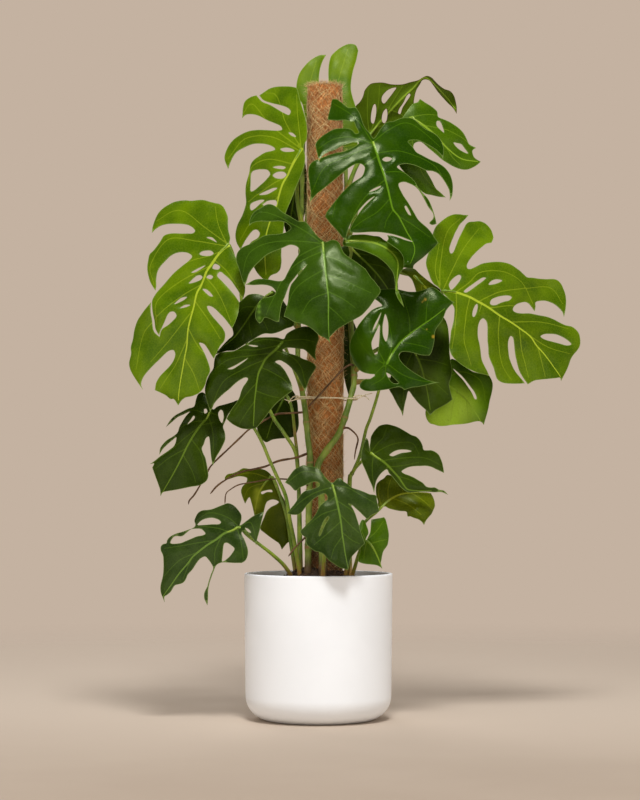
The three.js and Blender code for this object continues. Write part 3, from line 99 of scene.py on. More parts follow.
# What stands for a vein, a sheath or a place that isn't there
FAR = 1e3
NO_VEIN = 9.0
NO_SHEATH = -999
NOWHERE = "0 0 1 0"

# Each leaf has "x z" points along its edge, with "!" after a pointed one, its holes, its midrib and ribs.
# face is the depth of the blade at the top of the midrib, and its slope across and up.
# bow bends the tip back and cup bends the sides back, both in mm at 100 mm from the top of the midrib, and
# fold slopes both sides away from the midrib.
# A bend [x, z, reach, depth] moves the blade round a point. The points of a stalk are "x y z".
# side is -1 where the blade shows its underside to the front.
# look is the tone of the blade. The tints are "x z reach amount" places that are lighter or darker: partly
# the blade's own tone and partly painted light, sheen and shade. marks are brown ones, and sheath is the
# height of a tan old sheath on the stalk.
LEAVES = {
    "leaf_crown_back": {
        "edge": """20 1122, 22 1142, 21 1170, 20 1200, 19 1225, 20 1243, 24 1259, 32 1268, 44 1277,
            58 1282, 71 1279, 76 1269 !, 72 1250, 66 1230, 62 1205, 63 1188, 71 1162, 78 1138,
            78 1112, 73 1082, 62 1056, 46 1030, 28 1004 !, 14 1026, 0 1056, -10 1088, -18 1118,
            -26 1146, -31 1167, -38 1178, -42 1194, -41 1209, -36 1225, -27 1238, -14 1251,
            1 1260, 15 1262 !, 9 1252, 4 1238, 1 1218, 2 1198, 6 1168, 13 1138""",
        "midrib": "20 1112, 22 1080, 25 1045, 28 1012",
        "ribs": ["20 1114, 32 1160, 38 1210, 56 1272", "20 1114, 2 1150, -18 1190, -4 1250",
            "22 1090, 48 1085, 70 1090"],
        "stalk": "20 38 985, 24 78 1040, 20 101 1112",
        "face": [99, 0.03, 0.2], "bow": 3, "cup": 9,
        "look": "sunlit",
    },
    "leaf_upper_left": {
        "edge": """-29 1086, -23 1098, -22 1117, -25 1140, -31 1161, -37 1180, -41 1198 !, -52 1200,
            -66 1201, -83 1201, -95 1198, -106 1191, -114 1184 !, -106 1175, -90 1169, -73 1165,
            -60 1160, -53 1153, -56 1146, -66 1150, -80 1158, -94 1166, -108 1172, -119 1184 !,
            -130 1180, -140 1172, -145 1158, -147 1141 !, -141 1147, -130 1148, -116 1145,
            -98 1136, -83 1130, -73 1125, -70 1119, -77 1117, -98 1117, -115 1117, -134 1114,
            -151 1106, -165 1095, -174 1081, -179 1062, -173 1043 !, -169 1054, -158 1074,
            -144 1084, -128 1091, -114 1092, -99 1090, -87 1085, -83 1080, -89 1077, -101 1074,
            -113 1067, -124 1059, -130 1050, -133 1036, -139 1012, -140 995, -140 975, -144 955,
            -154 935, -158 918, -157 903, -150 889 !, -141 905, -131 918, -124 925, -117 926,
            -112 920, -115 911, -128 903, -137 893 !, -130 880, -126 862, -118 846, -107 834,
            -97 828 !, -91 838, -79 843 !, -73 850, -71 864, -72 880, -69 905, -66 925, -64 950,
            -56 975, -45 1000, -34 1025, -27 1050, -26 1068""",
        "holes": [
            "-58 1113, -50 1112, -44 1105, -52 1107",
            "-73 1081, -63 1084, -51 1081, -46 1077, -56 1075, -67 1076",
            "-86 1045, -73 1048, -63 1046, -68 1042",
            "-87 1030, -79 1036, -67 1037, -62 1032, -69 1025, -81 1025",
            "-127 1038, -99 1041, -92 1033, -98 1024, -110 1013, -129 1000, -130 1015",
            "-115 995, -89 1006, -79 1006, -86 1001, -101 995",
            "-131 976, -116 984, -105 984, -111 978, -127 963",
            "-107 974, -99 982, -83 983, -80 979, -82 972",
        ],
        "midrib": """-32 1081, -45 1058, -57 1035, -67 1015, -74 996, -81 970, -92 940, -99 915,
            -102 880, -99 840""",
        "ribs": ["-33 1082, -38 1130, -42 1185", "-33 1083, -62 1130, -80 1182, -104 1190",
            "-35 1082, -90 1125, -125 1166, -144 1150", "-38 1078, -90 1104, -140 1100, -172 1062",
            "-50 1052, -95 1060, -128 1045, -135 1010", "-62 1028, -110 1000, -135 980",
            "-76 990, -120 950, -150 905"],
        "stalk": "-30 10 930, -40 -3 985, -38 -24 1040, -33 -44 1079",
        "face": [-50, -0.56, 0.4], "bow": 4.5, "cup": 7.5,
        "look": "fresh",
    },
    "leaf_upper_right": {
        "edge": """97 1101, 88 1096, 79 1108, 72 1128, 69 1147, 71 1162, 78 1170, 84 1181, 88 1194,
            98 1205, 110 1208, 124 1208, 137 1205, 152 1204, 163 1205, 176 1209, 189 1213,
            198 1219, 206 1222, 214 1219, 221 1212, 228 1205, 239 1197, 251 1192, 258 1184,
            262 1173, 265 1160, 264 1146 !, 257 1158, 246 1169, 235 1181, 225 1193, 216 1206,
            210 1213, 203 1215, 197 1213, 193 1205, 187 1195, 183 1183, 181 1168, 188 1150,
            191 1130, 185 1112, 170 1098, 150 1090, 125 1087, 108 1092""",
        "holes": [
            "101 1131, 100 1142, 103 1160, 107 1167, 110 1160, 109 1142, 105 1129",
            "122 1132, 121 1142, 124 1153, 129 1158, 131 1149, 130 1136, 126 1130",
            "121 1171, 121 1181, 130 1192, 139 1197, 148 1198, 143 1190, 133 1177, 125 1168",
            """173 1187, 168 1182, 161 1168, 154 1157, 152 1149, 156 1147, 160 1159, 167 1171,
            175 1184""",
        ],
        "midrib": "97 1106, 116 1130, 138 1155, 160 1178, 180 1197, 203 1218, 240 1184, 262 1156",
        "ribs": ["97 1108, 93 1150, 94 1196", "99 1110, 113 1160, 116 1203",
            "116 1130, 140 1170, 160 1200", "112 1122, 145 1132, 178 1140",
            "138 1155, 160 1145, 180 1120"],
        "stalk": "53 17 975, 61 30 1020, 81 32 1070, 96 36 1104",
        "face": [40, 0.13, -0.36], "bow": 3, "cup": -6, "side": -1, "bends": [[250, 1165, 40, 50]],
        "look": "mid",
        "tints_and_painted_light": "150 1180 90 0.15",
    },
    "leaf_upper_right_rear": {
        "edge": """161 1142 !, 170 1155, 180 1167, 189 1170, 193 1176 !, 204 1169, 215 1163, 227 1153,
            229 1143, 237 1138, 250 1132, 264 1123, 275 1112, 283 1099, 288 1090, 301 1083 !,
            294 1078, 294 1070, 298 1063, 309 1056 !, 301 1049, 292 1044, 283 1041, 270 1042,
            257 1047, 246 1054, 236 1061, 226 1070, 211 1083, 195 1095, 183 1091, 184 1075,
            195 1056, 205 1039, 216 1021, 225 1005, 233 998, 243 988 !, 230 989, 216 992,
            203 995, 189 1007, 172 1025, 155 1046, 144 1075, 142 1105, 150 1128""",
        "holes": [
            "226 1134, 231 1134, 235 1127, 239 1112, 233 1117, 226 1126",
            "258 1093, 266 1092, 273 1090, 279 1082, 285 1072, 277 1075, 266 1083",
        ],
        "midrib": "175 1141, 200 1126, 224 1106, 244 1084, 272 1062, 303 1056",
        "ribs": ["177 1142, 202 1146, 226 1146", "200 1126, 240 1118, 276 1100, 292 1085",
            "185 1135, 180 1090, 200 1030, 236 993", "244 1084, 256 1064, 270 1050"],
        "stalk": "53 16 1000, 80 5 1060, 130 -9 1112, 174 -30 1140",
        "face": [-36, 0.26, 0.36], "bow": 13.5, "cup": 15,
        "look": "mid",
    },
    "leaf_upper_front": {
        "edge": """105 1101, 98 1112, 90 1122, 84 1135, 79 1149, 71 1162 !, 57 1161, 47 1168,
            36 1176 !, 26 1176, 22 1162, 19 1147, 17 1137 !, 33 1136, 50 1137, 60 1135, 67 1135,
            72 1124, 77 1113, 71 1111, 65 1117, 57 1121, 41 1121, 26 1118, 11 1109, -1 1099,
            -6 1091, -4 1079, 1 1057 !, 9 1069, 18 1075, 30 1079, 44 1087, 56 1091, 69 1094,
            77 1092, 72 1087, 65 1083, 50 1077, 32 1073, 14 1067, -2 1060, -14 1053, -19 1043,
            -19 1029, -17 1014, -15 998, -17 979 !, -5 993, 11 1006, 29 1021, 50 1038, 62 1047,
            72 1052, 82 1052, 88 1046, 87 1037, 83 1028, 75 1022, 62 1014, 47 1000, 36 987,
            23 971, 15 959, 13 951 !, 23 938, 36 924, 47 911, 58 901 !, 53 911, 55 922 !,
            59 933, 66 947, 75 961, 84 972, 94 982, 107 990, 96 980, 86 970, 77 958, 68 944,
            61 930, 59 922 !, 75 921, 95 922, 110 922, 123 921, 140 918, 155 914, 167 910,
            180 905, 166 907, 154 911, 140 915, 131 916 !, 133 909, 129 904 !, 141 896, 153 887,
            160 876, 161 863, 162 854 !, 172 852, 181 851 !, 184 858, 190 865, 197 871, 204 877,
            214 886, 221 893, 228 901 !, 221 912, 215 922, 208 930, 201 936, 190 946, 181 961,
            171 978, 160 994, 152 1012, 162 1017, 174 1014, 184 1009, 192 1001, 201 985,
            209 970, 219 957, 219 948, 212 940, 217 936, 226 938 !, 223 950, 217 967, 209 985,
            198 998, 190 1008, 184 1019, 174 1029, 162 1038, 150 1047, 162 1052, 177 1051,
            190 1047, 206 1040, 219 1039, 230 1034, 239 1024, 246 1013, 250 1002, 250 990,
            249 981 !, 254 990, 257 1002, 257 1015, 252 1030, 242 1044, 231 1053, 215 1061,
            198 1070, 187 1076, 180 1085, 171 1095, 180 1098, 192 1097, 204 1092, 216 1086,
            227 1079, 235 1069, 238 1060 !, 240 1082, 235 1096, 227 1106, 216 1114, 203 1121,
            191 1132, 180 1140, 168 1142, 157 1141, 143 1135, 130 1132, 120 1122, 111 1108""",
        "holes": [
            "97 999, 104 1004, 119 1010, 117 1007, 106 1001",
            "122 1061, 129 1065, 140 1062, 136 1058, 128 1057",
            "164 970, 167 972, 176 954, 171 956",
        ],
        "midrib": """104 1093, 111 1072, 119 1047, 127 1021, 133 999, 138 977, 142 964, 152 952, 160 938,
            170 920, 180 904, 183 885, 176 862""",
        "ribs": ["103 1092, 80 1130, 58 1150, 28 1168", "102 1090, 66 1103, 30 1100, 0 1082",
            "104 1086, 60 1068, 12 1045, -14 995", "112 1066, 66 1034, 40 1000, 26 950",
            "127 1021, 92 992, 70 960, 54 915", "136 985, 112 960, 84 943, 64 928",
            "106 1095, 135 1118, 175 1130, 232 1086", "111 1072, 160 1075, 220 1050, 252 1000",
            "122 1035, 165 1035, 200 1010, 222 945", "142 964, 130 945, 126 930",
            "152 952, 180 935, 212 912"],
        "stalk": "55 16 900, 76 -39 975, 95 -86 1050, 103 -133 1091",
        "bends": [[172, 862, 30, -50], [10, 1150, 30, 20]],
        "face": [-140, 0.13, 0.49], "bow": 10.5, "cup": 12,
        "look": "deep",
    },
    "leaf_hook": {
        "edge": """50 912, 60 916, 75 917, 90 917, 105 915, 117 914, 126 907, 140 899, 154 893,
            163 887, 165 875, 165 862, 161 852, 156 845, 153 835, 151 823, 152 811, 157 796,
            163 778 !, 152 792, 147 806, 146 827, 143 841, 138 850, 129 861, 117 871, 102 879,
            87 886, 71 891, 60 894, 47 897""",
        "midrib": "52 904, 80 905, 110 900, 135 886, 150 866, 150 840, 149 810",
        "ribs": ["110 900, 118 908", "135 886, 155 880"],
        "stalk": "59 14 800, 52 -30 830, 54 -90 856, 62 -140 880, 58 -176 901",
        "face": [-185, 0.08, 0.2], "bow": 4.5, "cup": 6,
        "look": "mid",
    },
    "leaf_centre_front": {
        "edge": """9 906, -5 918, -16 932, -25 941, -37 943, -55 953, -69 960, -80 969, -89 974,
            -99 975, -108 971, -118 965, -126 957, -131 946, -132 934 !, -126 939, -112 942,
            -92 942, -67 942, -57 937, -53 930, -61 922, -75 919, -89 918, -103 914, -117 906,
            -131 899, -145 892, -154 882, -156 868, -151 851, -147 834, -142 820 !, -138 830,
            -134 841, -125 854, -112 867, -99 878, -85 886, -75 890, -64 894, -53 897, -41 894,
            -36 887, -38 880, -45 869, -52 859, -60 845, -68 831, -80 829, -95 832, -110 834,
            -124 832, -140 823 !, -126 822, -107 822, -95 820, -87 816, -82 808, -86 802,
            -97 798, -107 795, -114 786, -119 774, -121 763, -119 755, -113 748 !, -108 753,
            -104 760, -93 757, -83 752, -75 751 !, -74 762, -72 775, -69 787, -64 799, -60 811,
            -55 824, -46 835, -34 848, -22 861, -32 847, -44 833, -53 822, -57 806, -58 792,
            -60 781, -64 769, -66 761 !, -57 757, -47 751, -35 748, -21 743, -12 737, -5 731,
            3 724, 12 720, 19 715, 26 705 !, 22 714, 21 721, 26 727, 36 737, 48 744, 58 750,
            71 757, 83 764, 91 772, 98 780, 107 793, 114 801, 117 806 !, 117 813, 112 820,
            107 828, 100 836, 95 844, 89 852, 80 859, 69 867, 58 874, 49 881, 44 890, 40 900,
            33 906, 24 907, 15 904""",
        "midrib": "8 901, 10 880, 12 860, 13 848, 15 833, 17 815, 19 795, 19 770, 19 745, 20 722",
        "ribs": ["6 902, -30 926, -70 948, -110 960, -128 944",
            "4 900, -40 904, -90 902, -130 882, -145 840", "6 896, -30 880, -56 862, -80 845, -128 827",
            "8 884, -30 868, -62 842, -84 800, -100 765", "12 850, -20 832, -48 808, -60 772",
            "18 806, -14 792, -32 765", "10 876, 36 868, 66 850", "14 840, 50 828, 80 814, 100 805",
            "18 808, 45 795, 70 778", "19 780, 36 766, 50 752"],
        "stalk": "-37 9 770, -34 -52 800, -12 -125 856, 6 -200 899",
        "face": [-206, -0.07, 0.56], "bow": 12, "cup": 13.5, "fold": 0.06,
        "look": "bluish",
        # The two darker places paint shade on the blade.
        "tints_and_painted_light": """-113 790 4 0.6, -113 780 4 0.6, -113 770 4 0.5, -113 758 4 0.4, 69 848 26 -0.4,
            -54 934 30 -0.4""",
    },
    "leaf_left": {
        "edge": """-170 901, -168 911, -171 925, -172 938, -172 950, -176 961, -181 970, -188 976,
            -197 978, -207 980, -219 983, -230 983, -242 982, -254 983, -265 982, -276 979,
            -287 972, -296 965, -305 956, -312 944, -315 932, -316 920 !, -309 927, -300 933,
            -288 936, -272 937, -257 937, -247 935, -239 930, -235 924, -240 920, -250 920,
            -263 920, -275 920, -286 918, -294 914, -299 906, -305 897, -313 887, -321 879,
            -324 866, -325 852, -324 839, -321 827, -311 811 !, -310 820, -310 831, -306 845,
            -300 857, -292 867, -283 876, -272 882, -260 884, -248 882, -241 876, -247 868,
            -257 860, -271 848, -283 836, -294 824, -303 814, -310 804, -316 791, -316 777,
            -315 764, -313 751, -310 738, -302 725 !, -299 735, -295 745, -291 754, -287 763,
            -282 769, -275 770, -270 765, -270 760, -277 752, -286 744, -297 736, -301 722 !,
            -311 731, -316 743, -318 757, -319 771, -318 788 !, -324 780, -332 770, -343 754,
            -348 738, -352 720, -356 703, -355 690, -359 672, -356 658, -346 641, -332 621 !,
            -336 632, -332 645, -321 659, -311 671, -301 681, -292 690, -284 696, -276 697,
            -273 690, -276 680, -284 668, -294 656, -303 645, -309 634, -311 621 !, -300 616,
            -290 611, -281 604, -275 604, -267 592 !, -261 601, -252 607, -241 609, -229 614 !,
            -221 622, -215 632, -211 645, -206 657, -209 672, -215 687, -221 699, -227 711,
            -218 709, -211 700, -205 690, -199 681 !, -192 694, -186 706, -179 715, -177 728,
            -182 739, -188 746, -194 753, -201 761, -208 771, -211 780, -204 780, -196 775,
            -188 767, -181 760, -172 749, -164 738 !, -158 751, -154 764, -152 778, -151 789 !,
            -159 801, -170 814, -182 827, -192 838, -187 846, -178 840, -167 830, -157 816,
            -149 804, -143 796 !, -140 808, -140 822, -143 838, -149 856, -157 873, -165 887,
            -168 895""",
        "holes": [
            "-213 912, -203 912, -194 903, -204 908",
            "-227 881, -221 886, -206 887, -200 882, -206 878, -221 878",
            "-242 845, -229 853, -216 859, -221 854, -234 846",
            "-247 825, -234 838, -225 840, -221 836, -228 830",
            "-274 785, -262 796, -250 798, -255 793",
            "-263 777, -254 783, -244 783, -252 779",
            "-202 854, -198 862, -188 857, -190 851, -198 851",
            "-213 836, -207 840, -200 836, -205 832",
            "-220 813, -211 811, -200 799, -206 799",
        ],
        "midrib": """-170 897, -181 889, -198 869, -213 845, -222 822, -230 805, -237 776, -246 738,
            -250 705, -256 675, -262 637, -266 602""",
        "ribs": ["-172 898, -215 930, -262 962, -308 942",
            "-176 895, -232 905, -284 908, -318 860, -314 822", "-186 884, -240 868, -290 850",
            "-205 858, -262 828, -306 790, -308 745", "-222 822, -280 785, -330 730, -345 660",
            "-238 772, -275 725, -318 675", "-248 720, -272 670, -300 625",
            "-172 895, -190 935, -196 970", "-198 869, -175 848, -150 812",
            "-216 838, -190 805, -166 750", "-234 790, -206 750, -186 718",
            "-246 738, -226 700, -205 688", "-254 682, -236 650, -226 620"],
        "stalk": """-33 -12 262, -36 -18 400, -40 -23 480, -46 -26 509, -67 -31 542, -87 -38 572,
            -116 -44 640, -138 -48 720, -146 -53 790, -152 -64 842, -169 -101 896""",
        "face": [-109, -0.3, 0.43], "bow": 6, "cup": 9, "bends": [[-305, 770, 34, -12]],
        "look": "fresh",
        "tints_and_painted_light": "-243 659 45 0.12",
    },
    "leaf_left_inner": {
        "edge": """-88 811, -95 804, -103 801, -113 804, -124 804, -133 802, -140 797, -146 791,
            -153 785, -158 772, -160 757, -164 742, -163 727, -172 718, -184 704, -199 688 !,
            -186 692, -174 695, -160 696, -149 702, -138 709, -128 715, -116 722, -102 728,
            -88 728, -74 732, -62 738, -48 744, -46 752, -52 768, -62 784, -74 800""",
        "midrib": "-88 807, -104 796, -118 779, -132 758, -146 738, -162 720, -190 696",
        "ribs": ["-118 779, -140 778, -150 770", "-104 796, -84 770, -60 752",
            "-118 779, -104 752, -96 735", "-132 758, -130 738, -126 722"],
        "stalk": "-36 9 735, -58 -13 765, -78 -48 793, -87 -82 806",
        "face": [-86, -0.17, 0.3], "bow": 6, "cup": 9,
        "look": "dark",
    },
    "leaf_left_middle": {
        "edge": """-66 718, -78 721, -92 722, -106 722, -118 721, -128 715, -138 708, -149 702,
            -160 696, -174 694, -186 691, -194 685, -198 674, -200 662, -207 650, -212 636,
            -215 620, -213 602, -209 588, -205 579 !, -202 588, -199 596, -192 604, -181 614,
            -170 623, -160 632, -149 640, -139 645, -134 643, -137 636, -143 628, -148 618,
            -151 608, -156 598, -164 587, -169 577, -174 566 !, -165 558, -157 553, -148 549,
            -138 547, -128 547, -120 548, -114 553, -107 562, -98 573, -89 585, -80 596,
            -70 605, -60 612, -49 620 !, -51 632, -55 642, -60 652, -65 660, -72 668, -82 675,
            -74 678, -65 674, -57 668, -48 659, -41 650, -36 640, -31 630, -25 617 !, -22 628,
            -18 640, -13 650, -8 658, -4 665 !, -9 671, -18 676, -29 680, -38 685, -48 689,
            -60 693, -68 697, -60 701, -48 701, -36 699, -28 698, -20 692, -12 684, -4 677 !,
            -6 690, -4 705, 1 719 !, -2 730, -10 738, -24 741, -38 738, -50 733, -60 727""",
        "holes": [
            "-172 661, -160 667, -147 674, -137 680, -134 682, -140 676, -152 668, -164 661",
            "-134 707, -125 707, -115 705, -124 704",
        ],
        "midrib": """-68 712, -80 698, -92 688, -101 679, -108 666, -114 654, -117 640, -119 622,
            -121 602, -122 575, -123 553""",
        "ribs": ["-70 713, -100 717, -126 712", "-74 705, -115 698, -150 696, -185 688",
            "-88 691, -130 686, -170 678, -196 660", "-101 679, -140 662, -180 636, -204 590",
            "-108 664, -90 656, -64 640, -54 626", "-82 696, -54 686, -34 666, -24 632",
            "-66 714, -30 716, -6 712", "-117 636, -138 612, -160 580", "-119 620, -98 612, -74 606",
            "-121 600, -140 572, -150 556"],
        "stalk": "-31 -22 622, -40 -52 646, -52 -92 674, -66 -163 708",
        "face": [-172, -0.2, 0.36], "bow": 7.5, "cup": 10.5,
        "look": "dark",
    },
    "leaf_left_rear": {
        "edge": """-100 522, -87 527, -75 529, -60 530, -46 533, -40 543, -37 556, -38 575, -40 598,
            -46 616, -60 630, -80 634, -100 626, -114 606, -119 580, -118 556, -112 536""",
        "midrib": "-62 612, -76 585, -88 560, -98 530",
        "ribs": ["-66 604, -52 580, -46 548", "-70 596, -94 596, -112 580", "-84 568, -68 548, -62 534"],
        "stalk": "-36 -4 262, -37 -10 400, -39 -13 480, -44 -12 533, -50 0 585, -60 35 610",
        "face": [43, -0.1, 0.17], "bow": 4.5, "cup": 7.5, "sheath": 535,
        "look": "dark",
    },
    "leaf_lower_left": {
        "edge": """-199 585, -192 590, -178 594, -164 598, -152 602, -148 596, -158 590, -165 583,
            -171 575, -177 562, -181 552, -178 542, -177 528, -182 515, -188 504, -194 494,
            -200 478 !, -203 490, -205 506, -206 520, -208 533, -213 530, -217 519, -221 511,
            -219 502, -215 494, -212 482, -210 470, -209 459, -212 450, -219 444, -228 440,
            -240 438, -258 434, -275 431, -288 429, -295 427, -299 420 !, -300 432, -303 441,
            -307 452, -311 463, -315 474 !, -312 482, -320 481 !, -310 488, -300 496, -290 503,
            -282 509, -275 515, -271 523, -270 532, -278 526, -287 518, -296 509, -302 499 !,
            -301 510, -296 518, -287 527, -276 534, -268 541, -264 552, -257 563, -250 573,
            -244 580, -256 575, -268 570, -278 561, -289 551 !, -282 563, -273 573, -260 580,
            -247 586, -236 590, -232 603, -228 613, -220 617, -213 612, -208 600, -205 590""",
        "holes": [
            "-190 577, -185 584, -181 580, -180 569, -183 559, -187 564",
            "-248 556, -242 564, -236 572, -234 569, -238 563",
            "-217 585, -213 586, -211 580, -216 577",
        ],
        "midrib": """-205 580, -212 566, -221 556, -231 542, -240 528, -248 514, -256 498, -264 482,
            -276 460, -296 426""",
        "ribs": ["-208 574, -240 583, -270 571", "-214 563, -250 556, -280 532, -300 506",
            "-226 550, -262 522, -312 484", "-204 578, -180 566, -178 540",
            "-208 572, -200 540, -200 490", "-222 554, -196 560", "-240 528, -222 500, -214 460",
            "-256 498, -240 470, -232 446", "-250 510, -280 494, -308 472"],
        "stalk": """-34 -36 262, -44 -50 325, -54 -61 375, -62 -68 420, -76 -74 452, -93 -80 489,
            -105 -84 518, -122 -87 549, -145 -87 580, -175 -87 588, -203 -97 580""",
        "face": [-102, -0.2, 0.33], "bow": 9, "cup": 7.5,
        "look": "dark",
    },
    "leaf_lowest_left": {
        "edge": """-149 366, -146 376, -146 385, -151 393, -157 400, -164 405, -172 407, -180 404,
            -190 400, -200 396, -210 394, -219 393, -227 389, -232 382, -235 374, -233 366,
            -237 361, -248 357, -259 353, -270 350, -280 345, -287 338, -289 332, -295 330,
            -299 325, -299 318, -295 308, -294 296, -294 284, -295 272, -297 261, -299 250,
            -299 241, -297 233, -291 220 !, -292 230, -286 234, -279 240, -275 247, -271 252,
            -263 254, -256 257, -251 264, -248 272, -239 282, -233 291, -227 299, -221 304,
            -214 306, -208 300, -203 293, -199 284, -203 272, -207 260, -210 249, -215 238,
            -215 227, -209 214 !, -208 228, -208 242, -206 255, -202 267, -198 278, -193 290,
            -183 295, -172 295, -157 294, -145 294 !, -138 299, -134 309, -134 320, -137 330,
            -141 340, -146 351, -143 356, -134 350, -127 344, -122 337, -118 328 !, -116 340,
            -111 356, -108 370, -103 391 !, -112 388, -124 382, -136 374""",
        "holes": [
            """-229 366, -223 373, -215 377, -202 379, -193 377, -187 374, -184 370, -188 367,
            -202 367, -216 366""",
            """-281 332, -278 340, -272 345, -259 345, -250 352, -242 358, -232 359, -222 358,
            -216 353, -214 349, -220 346, -230 344, -241 340, -252 336, -263 332""",
            """-178 331, -173 332, -166 328, -159 321, -163 313, -171 304, -182 297, -182 306,
            -181 316, -180 325""",
            "-139 361, -132 358, -128 352, -134 354",
        ],
        "midrib": """-150 362, -163 355, -177 350, -195 337, -210 328, -227 315, -239 305, -248 293,
            -262 276, -280 250, -295 230""",
        "ribs": ["-152 364, -172 380, -205 388, -230 374", "-170 353, -195 360, -232 362, -268 350",
            "-195 337, -240 330, -292 322", "-227 315, -262 300, -292 270",
            "-154 360, -146 330, -142 300", "-182 346, -195 318, -196 292",
            "-240 303, -248 286, -256 264", "-148 364, -128 370, -118 340"],
        "stalk": "-50 -30 262, -63 -44 287, -86 -59 309, -109 -73 327, -130 -82 343, -149 -93 361",
        "face": [-96, -0.17, 0.36], "bow": 10.5, "cup": 10.5,
        "look": "grey_and_sheen",
    },
    "leaf_low_left_rear": {
        "edge": """-178 450 !, -177 457, -172 462, -162 464, -152 468, -143 473, -130 472, -112 472,
            -98 468, -88 458, -80 441, -72 426, -64 412, -60 395, -57 364, -54 349, -50 336 !,
            -58 332, -69 319 !, -74 330, -82 336, -92 343, -101 350, -110 358, -108 368,
            -103 380, -98 391, -90 399, -80 404, -75 409, -82 413, -90 413, -98 408, -104 388 !,
            -112 387, -121 381 !, -124 395, -127 408, -131 418, -139 406 !, -144 418, -147 430,
            -144 439, -137 447, -136 455, -150 458, -165 454""",
        "holes": [
            "-109 428, -107 424, -97 428, -87 428, -89 432, -100 431",
        ],
        "midrib": "-88 458, -100 446, -112 428, -118 405, -121 388",
        "ribs": ["-92 454, -130 464, -172 456", "-100 446, -130 436, -142 415"],
        "stalk": "-42 8 262, -52 10 330, -60 11 380, -72 18 420, -87 32 456",
        "face": [36, -0.08, 0.2], "bow": 4.5, "cup": 7.5,
        "look": "olive",
        "tints_and_painted_light": "-115 430 9 0.4, -116 415 9 0.4, -118 400 8 0.3",
    },
    "leaf_front_bottom": {
        "edge": """26 446, 18 451, 11 459, 5 467, -1 473, -8 476, -18 477, -28 479, -36 476, -45 471,
            -54 461, -64 447 !, -54 441, -44 431, -34 437, -24 441, -13 446, -4 447, 2 444,
            1 439, -6 436, -14 433, -24 431, -32 425, -39 416, -46 406, -53 398, -60 388 !,
            -50 386, -40 386, -33 389, -27 396, -22 403, -16 409, -8 416, 0 421, 10 425, 16 422,
            17 415, 12 410, 3 402, -5 387, -12 377, -21 368, -29 360, -35 355 !, -32 348,
            -27 344, -23 341, -24 334, -22 329, -15 322, -6 316, 3 314, 10 310, 15 304, 21 298,
            30 292, 39 286, 48 283, 56 281 !, 58 288, 60 298, 63 305, 69 312, 76 319, 83 326,
            88 331, 86 337, 83 346, 80 356, 77 367, 73 379, 69 390, 64 399, 57 406, 64 403,
            71 397, 79 390, 87 382, 94 375 !, 98 382, 104 386, 111 389, 116 392 !, 113 404,
            111 414, 109 422, 97 424, 88 428, 76 433, 64 437, 56 443, 48 448, 42 454, 36 453,
            30 448""",
        "holes": [
            "19 382, 20 378, 15 370, 10 361, 6 351, 2 345, 1 349, 4 358, 8 368, 13 377",
        ],
        "midrib": "26 442, 32 423, 36 405, 40 386, 43 368, 45 349, 48 330, 50 315, 53 300, 56 285",
        "ribs": ["26 444, 0 462, -30 466, -58 448", "28 438, -8 426, -36 408, -56 390", "33 420, 20 410",
            "38 396, 8 386, -16 368, -30 354", "42 372, 18 350, -8 328", "46 345, 30 322, 24 302",
            "28 440, 56 436, 84 420, 108 406", "34 412, 56 398, 76 384", "40 386, 60 366, 78 350",
            "45 352, 62 338, 78 330"],
        "stalk": "8 -72 262, 12 -90 320, 19 -107 400, 26 -132 440",
        "face": [-137, 0.03, 0.36], "bow": 10.5, "cup": 12,
        "look": "grey_and_sheen",
    },
    "leaf_low_right": {
        "edge": """98 505, 97 513, 98 522, 99 531, 103 539, 108 546, 115 553, 123 556, 131 557,
            140 555, 150 551, 158 546, 167 540, 176 535, 184 533, 190 529, 195 523, 198 516,
            200 508, 206 507, 213 507, 220 504, 227 498, 231 491, 235 482, 237 473, 238 464 !,
            232 467, 223 471, 214 475, 204 477, 193 477, 183 477, 174 476, 166 473, 158 467,
            164 463, 173 460, 182 456, 190 451, 198 446, 205 439, 213 437, 222 437, 229 433,
            238 431, 246 423 !, 234 428, 222 428, 208 429, 195 429, 182 428, 170 428, 158 436,
            148 448, 139 459, 134 464, 130 471, 124 468, 117 461, 111 451, 108 440, 106 426 !,
            102 440, 96 453, 89 469, 83 482, 81 490, 81 502, 84 513, 87 523, 91 530 !, 94 525,
            96 516""",
        "holes": [
            """135 498, 139 502, 146 506, 154 508, 162 508, 170 507, 176 505, 168 503, 158 502,
            149 499, 141 496""",
        ],
        "midrib": "100 501, 110 494, 125 484, 140 469, 153 455, 161 443, 170 433, 190 431, 215 431",
        "ribs": ["100 503, 112 520, 122 530, 130 550", "104 500, 140 518, 176 520, 190 500",
            "120 487, 160 492, 200 492, 232 478", "134 475, 160 478, 190 484",
            "150 458, 172 452, 188 444", "98 500, 88 510", "104 497, 102 470, 106 436",
            "132 477, 126 470"],
        "stalk": "60 -14 262, 60 -19 440, 67 -35 468, 82 -67 486, 91 -87 497, 99 -105 502",
        "face": [-109, 0.17, 0.33], "bow": 9, "cup": 9,
        "look": "dark",
    },
    "leaf_low_right_under": {
        "edge": """117 398, 113 403, 113 411, 110 421, 109 434, 111 444, 117 450, 124 454, 130 460,
            140 458, 152 450, 162 440, 172 430, 190 428, 205 428, 214 427 !, 218 420, 221 411,
            222 402, 219 394, 215 387, 209 381, 203 374, 199 366 !, 195 372, 189 376, 180 379,
            173 382, 168 382, 166 391, 154 392, 143 394, 133 397, 126 401""",
        "midrib": "118 398, 132 411, 147 420, 161 425, 175 427, 195 427, 212 426",
        "ribs": ["120 401, 114 425, 116 444", "132 411, 132 435, 138 454", "161 425, 158 436",
            "140 416, 170 404, 195 385", "175 427, 200 410, 216 395"],
        "stalk": "50 -22 262, 62 -34 320, 84 -48 366, 116 -70 396",
        "face": [-73, 0.17, 0.17], "bow": 6, "cup": 9, "bends": [[190, 385, 35, -23]],
        "look": "olive",
    },
    "leaf_lowest_right": {
